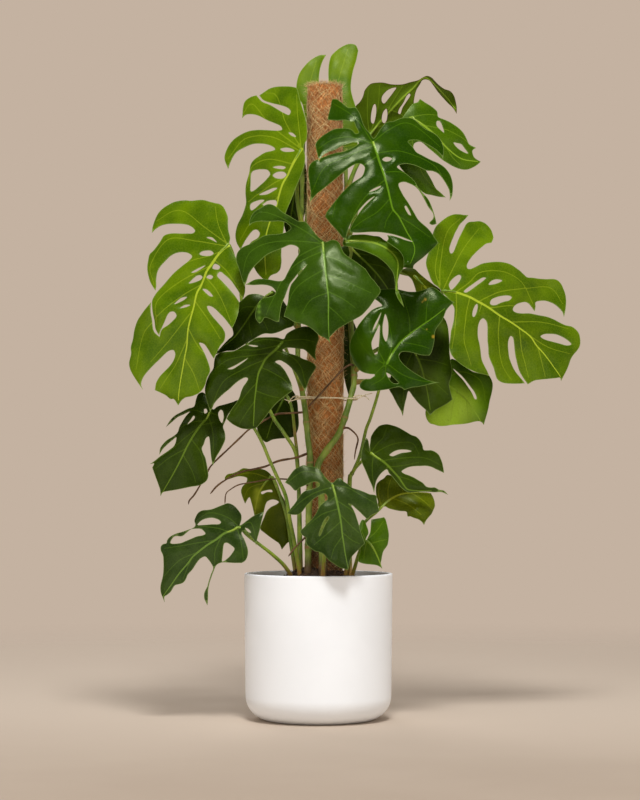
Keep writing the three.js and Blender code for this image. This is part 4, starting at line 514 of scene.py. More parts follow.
        "edge": """90 336, 95 345, 98 352, 99 362, 100 376 !, 112 378, 124 380 !, 127 375, 129 367,
            131 358, 133 348, 133 338, 131 328, 127 322, 123 316, 121 308, 120 300, 119 294,
            122 284 !, 116 288, 110 290, 100 291, 90 292, 82 294, 76 297, 76 306, 79 314,
            80 326, 76 336, 72 348, 76 360, 79 369, 83 376, 88 374, 91 366, 94 357, 95 350,
            91 342""",
        "midrib": "90 337, 98 330, 106 318, 113 304, 119 290",
        "ribs": ["91 338, 108 352, 122 372", "98 330, 118 336, 130 338", "92 336, 88 318, 86 300",
            "88 340, 82 355, 84 370"],
        "stalk": "63 -26 262, 70 -44 290, 78 -63 315, 89 -79 335",
        "face": [-82, 0.2, 0.25], "bow": 7.5, "cup": 12,
        "look": "mid",
    },
    "leaf_right": {
        "edge": """232 814, 226 819, 220 823, 214 832, 210 842, 206 852, 204 862, 206 873, 210 884,
            214 896, 216 910, 219 923, 224 933, 230 939, 237 945, 246 951, 257 955, 269 956,
            278 955, 287 955 !, 281 948, 275 942, 269 936, 265 929, 260 920, 256 910, 252 899,
            250 891, 251 884, 254 882, 258 886, 262 896, 266 907, 271 918, 276 928, 281 937,
            287 941, 297 942, 306 943, 315 940, 323 934, 329 927, 332 919, 333 911, 329 901 !,
            319 899, 310 892, 301 884, 292 875, 286 866, 283 859, 284 853, 289 852, 297 855,
            310 861, 324 863, 340 864, 353 863, 365 860, 375 855, 385 849, 391 843, 398 836,
            408 835, 420 833, 434 832, 447 832, 455 829, 461 822, 465 813, 469 803, 471 791,
            470 779, 466 760 !, 463 769, 457 777, 450 783, 441 787, 430 790, 419 790, 413 788,
            413 780, 411 771 !, 406 779, 401 786, 395 789, 386 788, 378 785, 372 779, 371 773,
            376 769, 386 767, 401 767, 417 764, 433 761, 446 756, 458 750, 470 745, 482 742,
            490 735, 495 727, 497 716, 496 705, 492 697, 486 689, 481 681, 476 671, 471 661,
            466 651, 460 638 !, 458 644, 448 643, 436 642, 422 641, 410 639, 398 632 !, 390 645,
            384 657, 379 671, 376 685, 374 699, 372 712, 370 721, 366 724, 363 720, 361 709,
            362 695, 364 681, 369 668, 376 656, 384 645, 392 634 !, 380 633, 366 633, 353 634,
            345 637, 339 643, 335 652, 330 664, 326 675, 323 687, 322 700, 321 714, 322 730,
            322 743, 320 752, 314 758, 309 755, 305 747, 303 737, 303 723, 305 709, 307 692,
            310 677, 315 664, 320 655, 324 648 !, 312 651, 300 654, 288 660, 278 666, 268 673,
            258 681, 252 691, 250 704, 250 718, 251 732, 254 742, 257 754, 258 766, 258 778,
            252 789, 244 800, 238 806""",
        "holes": [
            "249 821, 252 829, 260 837, 268 841, 272 838, 270 831, 265 824, 259 817, 253 813",
            """277 809, 284 816, 294 823, 304 830, 313 835, 318 834, 312 828, 301 820, 290 812,
            281 807""",
            "323 821, 327 827, 335 831, 344 831, 349 829, 342 825, 333 822",
            """326 786, 329 793, 337 797, 348 800, 362 801, 368 798, 363 792, 355 790, 346 787,
            337 783, 329 783""",
            "294 762, 294 771, 298 782, 302 785, 303 779, 301 769, 297 761",
            """422 723, 428 727, 438 728, 452 727, 464 722, 474 715, 480 708, 472 706, 458 710,
            444 714, 430 718""",
        ],
        "midrib": """236 810, 259 808, 283 800, 304 789, 324 777, 344 763, 365 750, 381 739, 401 723,
            413 706, 425 692, 440 672, 458 646""",
        "ribs": ["231 816, 222 850, 230 900", "231 818, 232 860, 244 920, 270 948",
            "237 812, 255 850, 276 890, 305 928",
            "262 808, 287 826, 304 843, 330 847, 362 842, 388 824, 408 785",
            "304 789, 324 799, 350 809, 400 815, 440 815, 464 785", "324 777, 370 782, 400 778",
            "365 750, 420 750, 475 738", "401 723, 440 700, 478 690", "262 806, 262 770, 254 700",
            "288 799, 280 760, 276 715, 290 668", "310 786, 306 770",
            "344 763, 342 720, 348 670, 366 640", "381 739, 386 700, 400 645",
            "416 702, 424 670, 430 646"],
        "stalk": "63 6 690, 100 0 692, 145 -8 722, 190 -32 768, 224 -65 798, 236 -93 809",
        "bends": [[440, 800, 45, 23], [300, 930, 35, 16]],
        "face": [-96, 0.36, 0.4], "bow": 6, "cup": 7.5,
        "look": "fresh",
        "tints_and_painted_light": "400 725 100 -0.4, 259 858 40 0.15, 270 720 110 -0.22",
    },
    "leaf_right_inner": {
        "edge": """107 650, 98 642, 88 641, 81 636, 78 630, 80 625, 86 621, 95 619, 107 619, 121 621,
            133 623, 146 626, 156 626, 163 621 !, 168 623, 178 626, 192 628, 210 632, 230 636 !,
            220 637, 210 640, 201 644, 192 649, 183 654, 174 660, 165 667, 158 674, 154 680,
            153 688, 158 693, 171 693, 181 691, 192 688, 203 687, 211 687 !, 215 694, 218 705,
            220 717, 221 730, 224 738, 229 745, 235 753, 239 762, 243 772, 250 781, 259 788 !,
            251 792, 244 798, 236 804, 226 812, 215 816, 203 812, 187 808, 172 808, 158 811,
            144 814, 130 814, 118 813, 109 805, 106 796, 114 789, 121 781, 112 778, 102 773,
            93 765, 85 756, 77 746, 70 735, 65 725, 61 715, 59 704, 60 693, 63 684, 67 674,
            73 665, 80 657, 88 653, 97 651""",
        "holes": [
            "119 768, 113 757, 107 746, 103 734, 108 740, 114 753",
            """116 745, 111 735, 105 722, 101 711, 102 700, 106 690, 110 687, 113 695, 115 712,
            116 728""",
            "127 765, 124 755, 122 741, 123 725, 128 714, 131 720, 133 735, 132 752",
            "129 654, 138 649, 147 640, 152 634, 143 634, 135 641",
        ],
        "midrib": "130 671, 140 690, 156 712, 174 728, 192 741, 214 756, 240 776",
        "ribs": ["130 673, 138 700, 139 725, 133 755", "126 672, 112 700, 98 730, 96 755",
            "124 670, 96 690, 78 715, 74 730", "124 668, 108 652", "128 668, 124 645, 100 630",
            "134 668, 160 650, 190 640, 220 636", "156 712, 190 706, 210 700",
            "174 728, 172 760, 160 800", "192 741, 212 730", "204 750, 206 780, 212 806"],
        "stalk": """57 4 262, 58 -2 440, 64 -10 462, 79 -29 498, 90 -49 545, 98 -67 566, 108 -89 597,
            114 -108 618, 122 -131 646, 130 -157 670""",
        "face": [-162, 0.07, 0.2], "bow": 6, "cup": 9, "bends": [[240, 790, 50, -10]],
        "look": "deep",
        "tints_and_painted_light": "88 706 32 0.28, 100 650 24 0.2",
        "marks": "203 793 4 0.7, 197 788 3 0.6, 218 722 5 0.7, 206 736 3 0.6, 231 706 3 0.6",
    },
    "leaf_right_rear": {
        "edge": """171 712, 190 730, 208 745, 224 756, 237 760 !, 242 753, 246 742, 248 726, 249 710,
            249 694, 251 676, 254 660, 252 645, 248 633, 250 620, 254 603 !, 245 596, 233 589,
            222 583, 212 573 !, 204 583, 196 590, 188 598, 180 608, 171 619, 167 606, 163 590,
            160 571 !, 156 582, 149 594, 141 610, 133 626, 138 650, 150 680, 160 700""",
        "midrib": "172 706, 184 690, 194 668, 202 640, 208 610, 212 584",
        "ribs": ["176 702, 205 720, 234 748", "190 680, 220 676, 246 668", "198 654, 222 634, 246 612",
            "180 696, 165 660, 160 600", "194 668, 184 640, 182 616"],
        "stalk": "66 4 655, 96 -18 678, 134 -48 696, 171 -76 706",
        "face": [-79, 0.07, 0.17], "bow": 4.5, "cup": 7.5,
        "look": "dark",
        "tints_and_painted_light": "202 640 40 0.25, 240 745 30 0.35",
    },
    "leaf_right_lower": {
        "edge": """240 652, 246 666, 252 680, 262 677, 274 669, 285 662, 296 656, 310 652, 322 650,
            327 643, 330 634, 330 624, 328 613, 325 601, 323 590, 320 578, 317 567, 314 555 !,
            310 560, 304 562, 296 561, 284 558, 269 556, 253 555, 241 553, 229 553, 219 556,
            212 558, 206 565, 203 577, 206 592, 214 610, 226 630""",
        "holes": [
            """256 662, 269 652, 281 638, 291 624, 297 612, 299 603, 295 604, 288 620, 278 636,
            266 650""",
        ],
        "midrib": "236 640, 248 628, 263 617, 281 600, 294 582, 308 562",
        "ribs": ["240 640, 272 656, 306 640, 316 600", "250 627, 262 630, 276 622",
            "238 636, 228 600, 224 562", "262 617, 254 590, 250 560", "280 600, 282 580, 284 562"],
        "stalk": "69 -2 636, 120 10 640, 180 3 645, 236 -20 641",
        "face": [-23, 0.2, 0.23], "bow": 7.5, "cup": 9, "bends": [[318, 620, 30, 13]],
        "look": "mid",
        # These places paint the pale sheen on the middle of the blade.
        "tints_and_painted_light": "268 600 34 0.6, 258 555 50 0.5, 224 566 26 0.4",
    },
    "leaf_centre_rear": {
        "edge": """60 898, 76 897, 92 888, 110 880, 128 868, 142 850, 150 830, 150 808, 140 798,
            124 792, 108 796, 96 806, 84 826, 72 848, 58 866, 44 880, 41 892""",
        "midrib": "60 892, 80 874, 102 852, 122 828, 138 804",
        "ribs": ["72 881, 100 878", "92 862, 120 856, 138 845", "84 870, 80 850", "108 845, 106 815"],
        "stalk": "57 15 850, 53 -10 868, 56 -40 884, 60 -79 893",
        "face": [-82, 0.1, 0.13], "bow": 4.5, "cup": 6,
        "look": "dark",
    },
    "leaf_right_rear_small": {
        "edge": """157 848, 166 853, 182 852, 192 843, 206 832, 220 822, 232 812, 240 796, 232 782,
            216 780, 200 788, 188 802, 183 818, 177 832, 168 840""",
        "midrib": "182 838, 194 826, 208 812, 226 792",
        "ribs": ["186 834, 200 834", "200 820, 220 814", "196 824, 196 806"],
        "stalk": "55 16 880, 100 23 862, 150 30 846, 182 26 838",
        "face": [23, 0.08, 0.17], "bow": 4.5, "cup": 6,
        "look": "olive",
    },
    "leaf_upper_left_rear": {
        "edge": """-34 1064, -26 1056, -22 1030, -22 1000, -23 975, -28 950, -38 932, -50 918,
            -58 908 !, -63 925, -68 946, -72 968, -70 995, -62 1020, -50 1046""",
        "midrib": "-36 1048, -43 1010, -51 960, -57 920",
        "ribs": ["-38 1035, -27 1015", "-40 1026, -56 1008", "-45 1000, -30 975", "-47 988, -65 970",
            "-50 966, -39 946", "-53 948, -61 934"],
        "stalk": "-33 14 895, -23 40 940, -23 58 990, -28 60 1025, -36 49 1048",
        "face": [46, 0, 0.12], "bow": 4.5, "cup": 4,
        "look": "dark",
    },
    "leaf_pole_rear": {
        "edge": """57 760, 66 752, 74 730, 77 700, 75 665, 70 630, 62 598 !, 54 622, 47 655, 43 690,
            42 725, 47 750""",
        "midrib": "58 750, 60 710, 62 660, 62 610",
        "ribs": ["59 735, 70 715", "59 728, 48 708", "61 700, 72 675", "61 695, 48 670", "62 660, 70 640",
            "62 655, 53 632"],
        "stalk": "61 14 790, 64 32 794, 63 50 778, 58 47 750",
        "face": [44, 0, 0.06], "bow": 4.5, "cup": 4,
        "look": "dark",
    },
}

# Each limb is a list of "x y z" points with its radius at the first and the last
STEMS = {
    "stem_left": (
        """-20 -38 262, -18 -42 400, -15 -44 480, -20 -42 530, -25 -36 580, -31 -22 620, -38 -4 660,
        -39 6 720, -36 12 800, -33 14 900, -31 12 1000, -29 8 1092""",
        (6.4, 3.6),
    ),
    "stem_front": (
        """8 -55 262, 6 -58 412, 2 -55 440, -1 -52 477, 17 -47 508, 39 -42 539, 52 -33 575, 62 -18 610,
        68 -2 640, 65 8 700, 60 14 780, 55 17 880, 53 17 980, 52 13 1082""",
        (7, 3.6),
    ),
    "stem_rear": ("6 46 262, 2 48 420, -2 46 600, 4 45 760, 10 42 900, 14 39 1010", (6, 4)),
}
ROOTS = {
    "root_long_left": (
        """-25 -36 579, -40 -34 578, -58 -32 577, -82 -29 574, -115 -28 556, -132 -29 546, -150 -28 529,
        -171 -27 509, -201 -26 480, -212 -25 462, -226 -26 437, -236 -28 421, -244 -30 412, -246 -31 404""",
        (2, 1.5),
    ),
    "root_lower_left": (
        """-17 -43 503, -30 -45 497, -46 -46 492, -70 -46 488, -85 -47 483, -101 -47 476, -123 -46 471,
        -142 -45 467, -163 -44 458, -180 -43 448, -193 -43 438, -205 -44 424""",
        (2.3, 1.6),
    ),
    "root_thin_left": (
        """-17 -43 438, -32 -58 447, -60 -67 452, -92 -68 452, -120 -66 447, -134 -64 445, -152 -60 441,
        -166 -58 433, -175 -57 424, -177 -56 405""",
        (1.4, 1.1),
    ),
    "root_on_pole": (
        "66 0 668, 60 -24 669, 45 -38 659, 20 -40 632, 4 -43 614, -8 -45 601, -20 -46 588",
        (2.1, 1.7),
    ),
    "root_right": (
        "43 -40 547, 56 -44 549, 70 -45 538, 75 -45 528, 73 -45 517, 70 -44 504, 68 -43 489",
        (1.9, 1.3),
    ),
    "root_stub": ("-19 -41 348, -30 -58 337, -44 -66 323, -57 -68 306", (1.9, 1.4)),
}

# The raffia runs round the pole and the two front stems, in plan, and ends in loose tails
TIE_HEIGHT = 605
TIE_LOOP = """-40 -29, -35 -39, -26 -40, 11 -37.5, 54 -30, 66 -30, 73 -20, 69 -6, 44 24, 12 37, -20 26,
    -42 -6, -40 -29"""
TAILS = [
    "-36 -38 605, -44 -42 603, -54 -46 600, -64 -47 603",
    "-34 -40 608, -42 -43 610, -50 -44 606, -57 -44 596",
    "64 -32 605, 76 -36 606, 90 -38 612, 102 -38 615",
    "66 -31 608, 78 -33 611, 88 -36 609, 97 -37 602",
]


# Curves and plain mesh building
def numbers(text):
    return [entry.split() for entry in text.split(",")]


def plane(text):
    return np.array([[float(x), float(z)] for x, z, *_ in numbers(text)])


def at(points):
    points = np.asarray(points, float)
    share = 1 - points[:, 1:2] / EYE[1]
    return (points * [1, 0, 1] - EYE) * share + EYE


def length_of(vector):
    return np.linalg.norm(vector, axis=-1)


def space(text):
    return at([[float(value) for value in entry] for entry in numbers(text)])


def smooth(points, step):
    """A curve through the points, in steps of about step."""
    points = np.asarray(points, float)
    ends = [2 * points[0] - points[1]], [2 * points[-1] - points[-2]]
    padded = np.concatenate([ends[0], points, ends[1]])
    parts = []
    for a, b, c, d in zip(padded, padded[1:], padded[2:], padded[3:]):
        count = max(1, math.ceil(length_of(c - b) / step))
        t = np.arange(count)[:, None] / count
        bend = (2 * a - 5 * b + 4 * c - d) * t**2 + (3 * b - a - 3 * c + d) * t**3
        parts.append(b + ((c - a) * t + bend) / 2)
    return np.concatenate([*parts, points[-1:]])


def outline(text):
    """A smooth closed curve through the edge points of a leaf, with corners at the pointed ones."""
    pointed = [len(entry) > 2 for entry in numbers(text)]
    knots = plane(text)
    count = len(knots)
    line = []
    for i in range(count):
        before, start, end, after = (knots[(i + k) % count] for k in (-1, 0, 1, 2))
        chord = end - start
        length = length_of(chord)
        leave = chord if pointed[i] else (end - before) / (length_of(start - before) + length) * length
        arrive = chord
        if not pointed[(i + 1) % count]:
            arrive = (after - start) / (length + length_of(after - end)) * length
        steps = max(1, math.ceil(length / EDGE_STEP))
        t = np.arange(steps)[:, None] / steps
        share = t * t * (3 - 2 * t)
        bend = leave * t * (1 - t) ** 2 + arrive * t * t * (t - 1)
        line.append(start * (1 - share) + end * share + bend)
    return np.concatenate(line)


def inside_of(points, line):
    """Which points lie inside a closed line."""
    a, b = line, np.roll(line, -1, axis=0)
    x, z = points[:, :1], points[:, 1:]
    crossed = (a[:, 1] > z) != (b[:, 1] > z)
    rise = np.where(b[:, 1] == a[:, 1], 1, b[:, 1] - a[:, 1])
    return (crossed & (x < a[:, 0] + (z - a[:, 1]) * (b[:, 0] - a[:, 0]) / rise)).sum(1) % 2 == 1


def nearest(points, line):
    """How far each point is from an open line, and how far along the line its nearest place is, 0 to 1."""
    start, chord = line[:-1], np.diff(line, axis=0)
    squared = np.maximum((chord**2).sum(1), 1e-9)
    best, share = [], []
    for some in np.array_split(points, max(1, len(points) // 800)):
        way = some[:, None] - start
        part = np.clip((way * chord).sum(2) / squared, 0, 1)
        gaps = length_of(way - part[..., None] * chord)
        pick = gaps.argmin(1)
        best.append(gaps.min(1))
        share.append((pick + part[np.arange(len(some)), pick]) / len(start))
    return np.concatenate(best), np.concatenate(share)


def gap_to(points, lines):
    return np.min([nearest(points, line)[0] for line in lines], axis=0)


def ripple(points, rng, length, waves=6):
    """A smooth random field over the elevation, mostly between -1 and 1."""
    total = np.zeros(len(points))
    for _ in range(waves):
        heading, phase = rng.uniform(0, TURN, 2)
        along = points @ [math.cos(heading), math.sin(heading)]
        total += np.sin(along * TURN / (length * rng.uniform(0.7, 1.4)) + phase)
    return total / math.sqrt(waves) / 1.2


def build(name, vertices, faces, materials, shades=None, attributes=None, sharp=40):
    """A smooth mesh object from points in millimetres."""
    mesh = bpy.data.meshes.new(name)
    mesh.from_pydata((np.asarray(vertices) * MM).tolist(), [], faces)
    for material in materials:
        mesh.materials.append(material)
    if shades is not None:
        mesh.polygons.foreach_set("material_index", shades)
    for key, values in (attributes or {}).items():
        layer = mesh.attributes.new(key, "FLOAT", "POINT")
        layer.data.foreach_set("value", np.asarray(values, np.float32))
    mesh.polygons.foreach_set("use_smooth", [True] * len(mesh.polygons))
    mesh.validate()
    mesh.set_sharp_from_angle(angle=math.radians(sharp))
    piece = bpy.data.objects.new(name, mesh)
    bpy.context.scene.collection.objects.link(piece)
    return piece


def dress(piece, slot, *nodes):
    """The piece rides on the plant and stands for its CAD nodes. Its slot is not used."""
    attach(piece, "root")
    for node in nodes:
        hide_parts(node)


def tube_faces(rows, sides):
    """The faces of a tube of several rings of points, closed at both ends."""
    faces = []
    for row in range(rows - 1):
        for k in range(sides):
            a, b = row * sides + k, row * sides + (k + 1) % sides
            faces.append((a, b, b + sides, a + sides))
    last = (rows - 1) * sides
    faces.append(tuple(range(sides))[::-1])
    faces.append(tuple(range(last, last + sides)))
    return faces


def tube(path, radii, sides, flat=1.0, grain=None):
    """A tube along a path, turned as little as possible."""
    path = np.asarray(path, float)
    ways = np.gradient(path, axis=0)
    ways /= length_of(ways)[:, None]
    side = np.cross(ways[0], [0.0, 0.0, 1.0] if abs(ways[0][2]) < 0.9 else [1.0, 0.0, 0.0])
    angles = np.arange(sides) * TURN / sides
    rings = []
    for i, (centre, way, radius) in enumerate(zip(path, ways, radii)):
        side = side - way * (side @ way)
        side /= length_of(side)
        other = np.cross(way, side)
        reach = radius * (1 if grain is None else grain[i])
        ring = np.outer(np.cos(angles), side) + np.outer(np.sin(angles), other) * flat
        rings.append(centre + ring * np.reshape(reach, (-1, 1)))
    return np.concatenate(rings), tube_faces(len(path), sides)


def joined(meshes):
    """Several meshes, each its points and faces, as one."""
    vertices, faces, first = [], [], 0
    for points, own_faces in meshes:
        vertices.append(points)
        faces += [tuple(corner + first for corner in face) for face in own_faces]
        first += len(points)
    return np.concatenate(vertices), faces


def along(path):
    """How far along a path each of its points is."""
    steps = length_of(np.diff(path, axis=0))
    return np.concatenate([[0], np.cumsum(steps)])


def turned(profile, sides):
    """A profile of (radius, height) turned round the Z axis, closed where the radius is nought."""
    angles = np.arange(sides) * TURN / sides
    vertices, faces, rows = [], [], []
    for radius, height in profile:
        if radius < 1e-6:
            rows.append([len(vertices)] * sides)
            vertices.append((0, 0, height))
            continue
        rows.append(list(range(len(vertices), len(vertices) + sides)))
        vertices += [(radius * math.cos(a), radius * math.sin(a), height) for a in angles]
    for low, high in zip(rows, rows[1:]):
        for k in range(sides):
            corners = [low[k], low[(k + 1) % sides], high[(k + 1) % sides], high[k]]
            face = tuple(dict.fromkeys(corners))
            if len(face) > 2:
                faces.append(face)
    return np.array(vertices, float), faces


# Materials
def colour(red, green, blue):
    """A screen colour, 0 to 255, as the linear one that a shader takes."""
    parts = [value / 255 for value in (red, green, blue)]
    linear = [v / 12.92 if v <= 0.04045 else ((v + 0.055) / 1.055) ** 2.4 for v in parts]
    return (*linear, 1.0)


class Paint:
    """The nodes of one procedural material."""

    def __init__(self, name, **constants):
        self.material = bpy.data.materials.new(name)
        self.material.use_nodes = True
        self.tree = self.material.node_tree
        self.shader = self.tree.nodes["Principled BSDF"]
        for key, value in constants.items():
            self.shader.inputs[key.replace("_", " ").title().replace("Ior", "IOR")].default_value = value
        self.place = self.node("ShaderNodeTexCoord").outputs["Object"]

    def feed(self, socket, value):
        if isinstance(value, bpy.types.NodeSocket):
            self.tree.links.new(value, socket)
        else:
            socket.default_value = value

    def node(self, kind, inputs=None, **settings):
        made = self.tree.nodes.new(kind)
        for key, value in settings.items():
            setattr(made, key, value)
        for key, value in (inputs or {}).items():
            self.feed(made.inputs[key], value)
        return made

    def noise(self, size, detail=3, stretch=(1, 1, 1)):
        """Noise with blotches of about size millimetres."""
        scaled = self.node("ShaderNodeVectorMath", {0: self.place, 1: stretch}, operation="MULTIPLY")
        inputs = {"Vector": scaled.outputs[0], "Scale": 1 / (size * MM), "Detail": detail}
        return self.node("ShaderNodeTexNoise", inputs).outputs["Fac"]

    def cells(self, size, feature="DISTANCE_TO_EDGE"):
        inputs = {"Vector": self.place, "Scale": 1 / (size * MM)}
        return self.node("ShaderNodeTexVoronoi", inputs, feature=feature).outputs["Distance"]

    def attribute(self, name):
        return self.node("ShaderNodeAttribute", attribute_name=name).outputs["Fac"]

    def ramp(self, value, low, high, start=0.0, end=1.0):
        inputs = {"Value": value, "From Min": low, "From Max": high, "To Min": start, "To Max": end}
        made = self.node("ShaderNodeMapRange", inputs, interpolation_type="SMOOTHSTEP", clamp=True)
        return made.outputs["Result"]

    def sum(self, a, b, operation="ADD"):
        return self.node("ShaderNodeMath", {0: a, 1: b}, operation=operation).outputs[0]

    def blend(self, share, a, b):
        return self.node("ShaderNodeMix", {0: share, 6: a, 7: b}, data_type="RGBA").outputs[2]

    def bump(self, height, strength, depth):
        """Small relief, depth millimetres deep."""
        inputs = {"Height": height, "Strength": strength, "Distance": depth * MM}
        normal = self.shader.inputs["Normal"]
        if normal.links:
            inputs["Normal"] = normal.links[0].from_socket
        self.tree.links.new(self.node("ShaderNodeBump", inputs).outputs["Normal"], normal)

    def finish(self, base, roughness):
        self.feed(self.shader.inputs["Base Color"], base)
        self.feed(self.shader.inputs["Roughness"], roughness)
        return self.material


# Tones of the blades: deep, light and vein colours, and the roughness
TONES = {
    "sunlit": ((64, 94, 0), (92, 116, 2), (136, 156, 20), 0.44),
    "fresh": ((58, 86, 0), (88, 114, 2), (154, 170, 38), 0.32),
    "mid": ((40, 68, 0), (62, 92, 2), (116, 144, 32), 0.3),
    "deep": ((24, 51, 0), (36, 63, 0), (78, 116, 12), 0.22),
    # dark is partly the leaves' own deep green and partly painted shade, for the leaves that lie in shade
    # behind others.
    "dark": ((27, 43, 0), (41, 58, 2), (80, 104, 20), 0.3),
    "bluish": ((28, 50, 2), (46, 72, 8), (84, 118, 30), 0.25),
    # This duller grey-green is partly the leaves' own tone and partly painted sheen.
    "grey_and_sheen": ((28, 46, 10), (50, 68, 24), (88, 116, 38), 0.24),
    "olive": ((58, 72, 0), (86, 98, 4), (140, 148, 32), 0.36),
}
UNDER_TINT = colour(96, 114, 20)
BLEMISH = colour(132, 112, 34)
RIM_PALE = colour(150, 172, 92)
RIM_BROWN = colour(84, 44, 24)


def blade_material(tone, under):
    deep, light, vein, roughness = TONES[tone]
    paint = Paint(f"{tone}_under" if under else f"{tone}_top", specular_ior_level=0.1 if under else 0.11)
    paint.shader.inputs["Specular Tint"].default_value = (0.9, 1, 0.6, 1)
    blotches = paint.ramp(paint.noise(60, 2), 0.3, 0.7)
    body = paint.blend(blotches, colour(*deep), colour(*light))
    # Painted light and shade: round its tint places the blade turns lighter, towards a pale vein colour, or
    # darker, towards half its deep colour. This is partly the blade's own tone and partly painted sheen,
    # light and shade.
    tint_and_painted_light = paint.attribute("tint_and_painted_light")
    body = paint.blend(paint.ramp(tint_and_painted_light, 0, 1), body, colour(*(min(255, v * 1.3 + 12) for v in vein)))
    body = paint.blend(paint.ramp(tint_and_painted_light, 0, -1), body, colour(*(v * 0.5 for v in deep)))
    mottle = paint.ramp(paint.noise(2.4, 2), 0.35, 0.75, 0, 0.14)
    body = paint.blend(mottle, body, colour(*light))
    net = paint.cells(5.5)
    body = paint.blend(paint.ramp(net, 0.1, 0.02, 0, 0.08), body, colour(*vein))
    if under:
        body = paint.blend(0.3, body, UNDER_TINT)
    side_vein = paint.ramp(paint.attribute("side_vein"), 1.6, 0.5, 0, 0.5 if under else 0.34)
    body = paint.blend(side_vein, body, colour(*vein))
    main_vein = paint.ramp(paint.attribute("main_vein"), 1.4, 0.6, 0, 0.95 if under else 0.8)
    body = paint.blend(main_vein, body, colour(*(min(255, v + 10) for v in vein)))
    edge = paint.attribute("edge")
    rim = RIM_BROWN if under else RIM_PALE
    body = paint.blend(paint.ramp(edge, 1.5, 0.2, 0, 0.6 if under else 0.3), body, rim)
    spots = paint.ramp(paint.noise(5, 2), 0.66, 0.74, 0, 0.3)
    body = paint.blend(spots, body, colour(*(v * 0.8 for v in deep)))
    body = paint.blend(paint.ramp(paint.attribute("mark"), 0.25, 0.6), body, BLEMISH)
    paint.bump(paint.ramp(net, 0.14, 0), 0.12, 0.2)
    paint.bump(paint.noise(9, 2), 0.2, 0.8)
    matt = roughness + (0.18 if under else 0)
    return paint.finish(body, paint.ramp(paint.noise(16, 3), 0.3, 0.7, matt - 0.07, matt + 0.08))


def stalk_material():
    """Green stalks that turn tan and fibrous at the foot, where the old sheath is."""
    paint = Paint("stalk_green", specular_ior_level=0.45)
    body = paint.blend(paint.ramp(paint.noise(30), 0.3, 0.7), colour(92, 126, 20), colour(144, 168, 46))
    streaks = paint.noise(1.5, 2, (1, 1, 0.08))
    body = paint.blend(paint.ramp(streaks, 0.45, 0.75, 0, 0.5), body, colour(156, 172, 96))
    foot = paint.sum(paint.attribute("foot"), paint.ramp(streaks, 0.2, 0.8, -0.25, 0.25))
    body = paint.blend(paint.ramp(foot, 0.45, 0.9), body, colour(160, 122, 62))
    flecks = paint.ramp(paint.noise(3.5, 1), 0.7, 0.76, 0, 0.6)
    body = paint.blend(flecks, body, colour(70, 74, 34))
    paint.bump(streaks, 0.3, 0.3)
    return paint.finish(body, paint.ramp(paint.noise(9), 0.3, 0.7, 0.36, 0.55))


def stem_material():
    """Thick green stems with tan rings where the stalks left them."""
    paint = Paint("stem_bark", specular_ior_level=0.4)
    body = paint.blend(paint.ramp(paint.noise(40), 0.3, 0.7), colour(88, 116, 30), colour(142, 162, 60))
    streaks = paint.noise(2, 3, (1, 1, 0.1))
    body = paint.blend(paint.ramp(streaks, 0.5, 0.8, 0, 0.6), body, colour(166, 168, 104))
    ring = paint.sum(paint.attribute("ring"), paint.ramp(streaks, 0.2, 0.8, -0.2, 0.2))
    body = paint.blend(paint.ramp(ring, 0.3, 0.8), body, colour(158, 120, 72))
    body = paint.blend(paint.ramp(paint.attribute("foot"), 0.3, 1), body, colour(96, 74, 44))
    paint.bump(streaks, 0.4, 0.5)
    return paint.finish(body, paint.ramp(paint.noise(8), 0.3, 0.7, 0.45, 0.65))


def root_material():
    paint = Paint("root_bark", specular_ior_level=0.3)
    body = paint.blend(paint.ramp(paint.noise(16), 0.3, 0.7), colour(92, 66, 42), colour(140, 106, 70))
    scales = paint.cells(1.6)
    body = paint.blend(paint.ramp(scales, 0.2, 0, 0, 0.6), body, colour(58, 40, 26))
    paint.bump(scales, 0.6, 0.5)
    return paint.finish(body, paint.ramp(paint.noise(3), 0.3, 0.7, 0.65, 0.9))


# The leaves
def depth_of(leaf, spots):
    """The depth of a blade at points of the elevation."""
    midrib = plane(leaf["midrib"])
    way = (midrib[-1] - midrib[0]) / length_of(midrib[-1] - midrib[0])
    dx, dz = (spots - midrib[0]).T
    down = (dx * way[0] + dz * way[1]) / 100
    aside = (dx * way[1] - dz * way[0]) / 100
    depth, across, up = leaf["face"]
    y = depth + across * dx + up * dz + leaf["bow"] * down**2 + leaf["cup"] * aside**2
    y += 100 * leaf.get("fold", 0) * abs(aside)
    for x, z, reach, move in leaf.get("bends", []):
        y += move * np.exp(-((spots[:, 0] - x) ** 2 + (spots[:, 1] - z) ** 2) / reach**2)
    return y


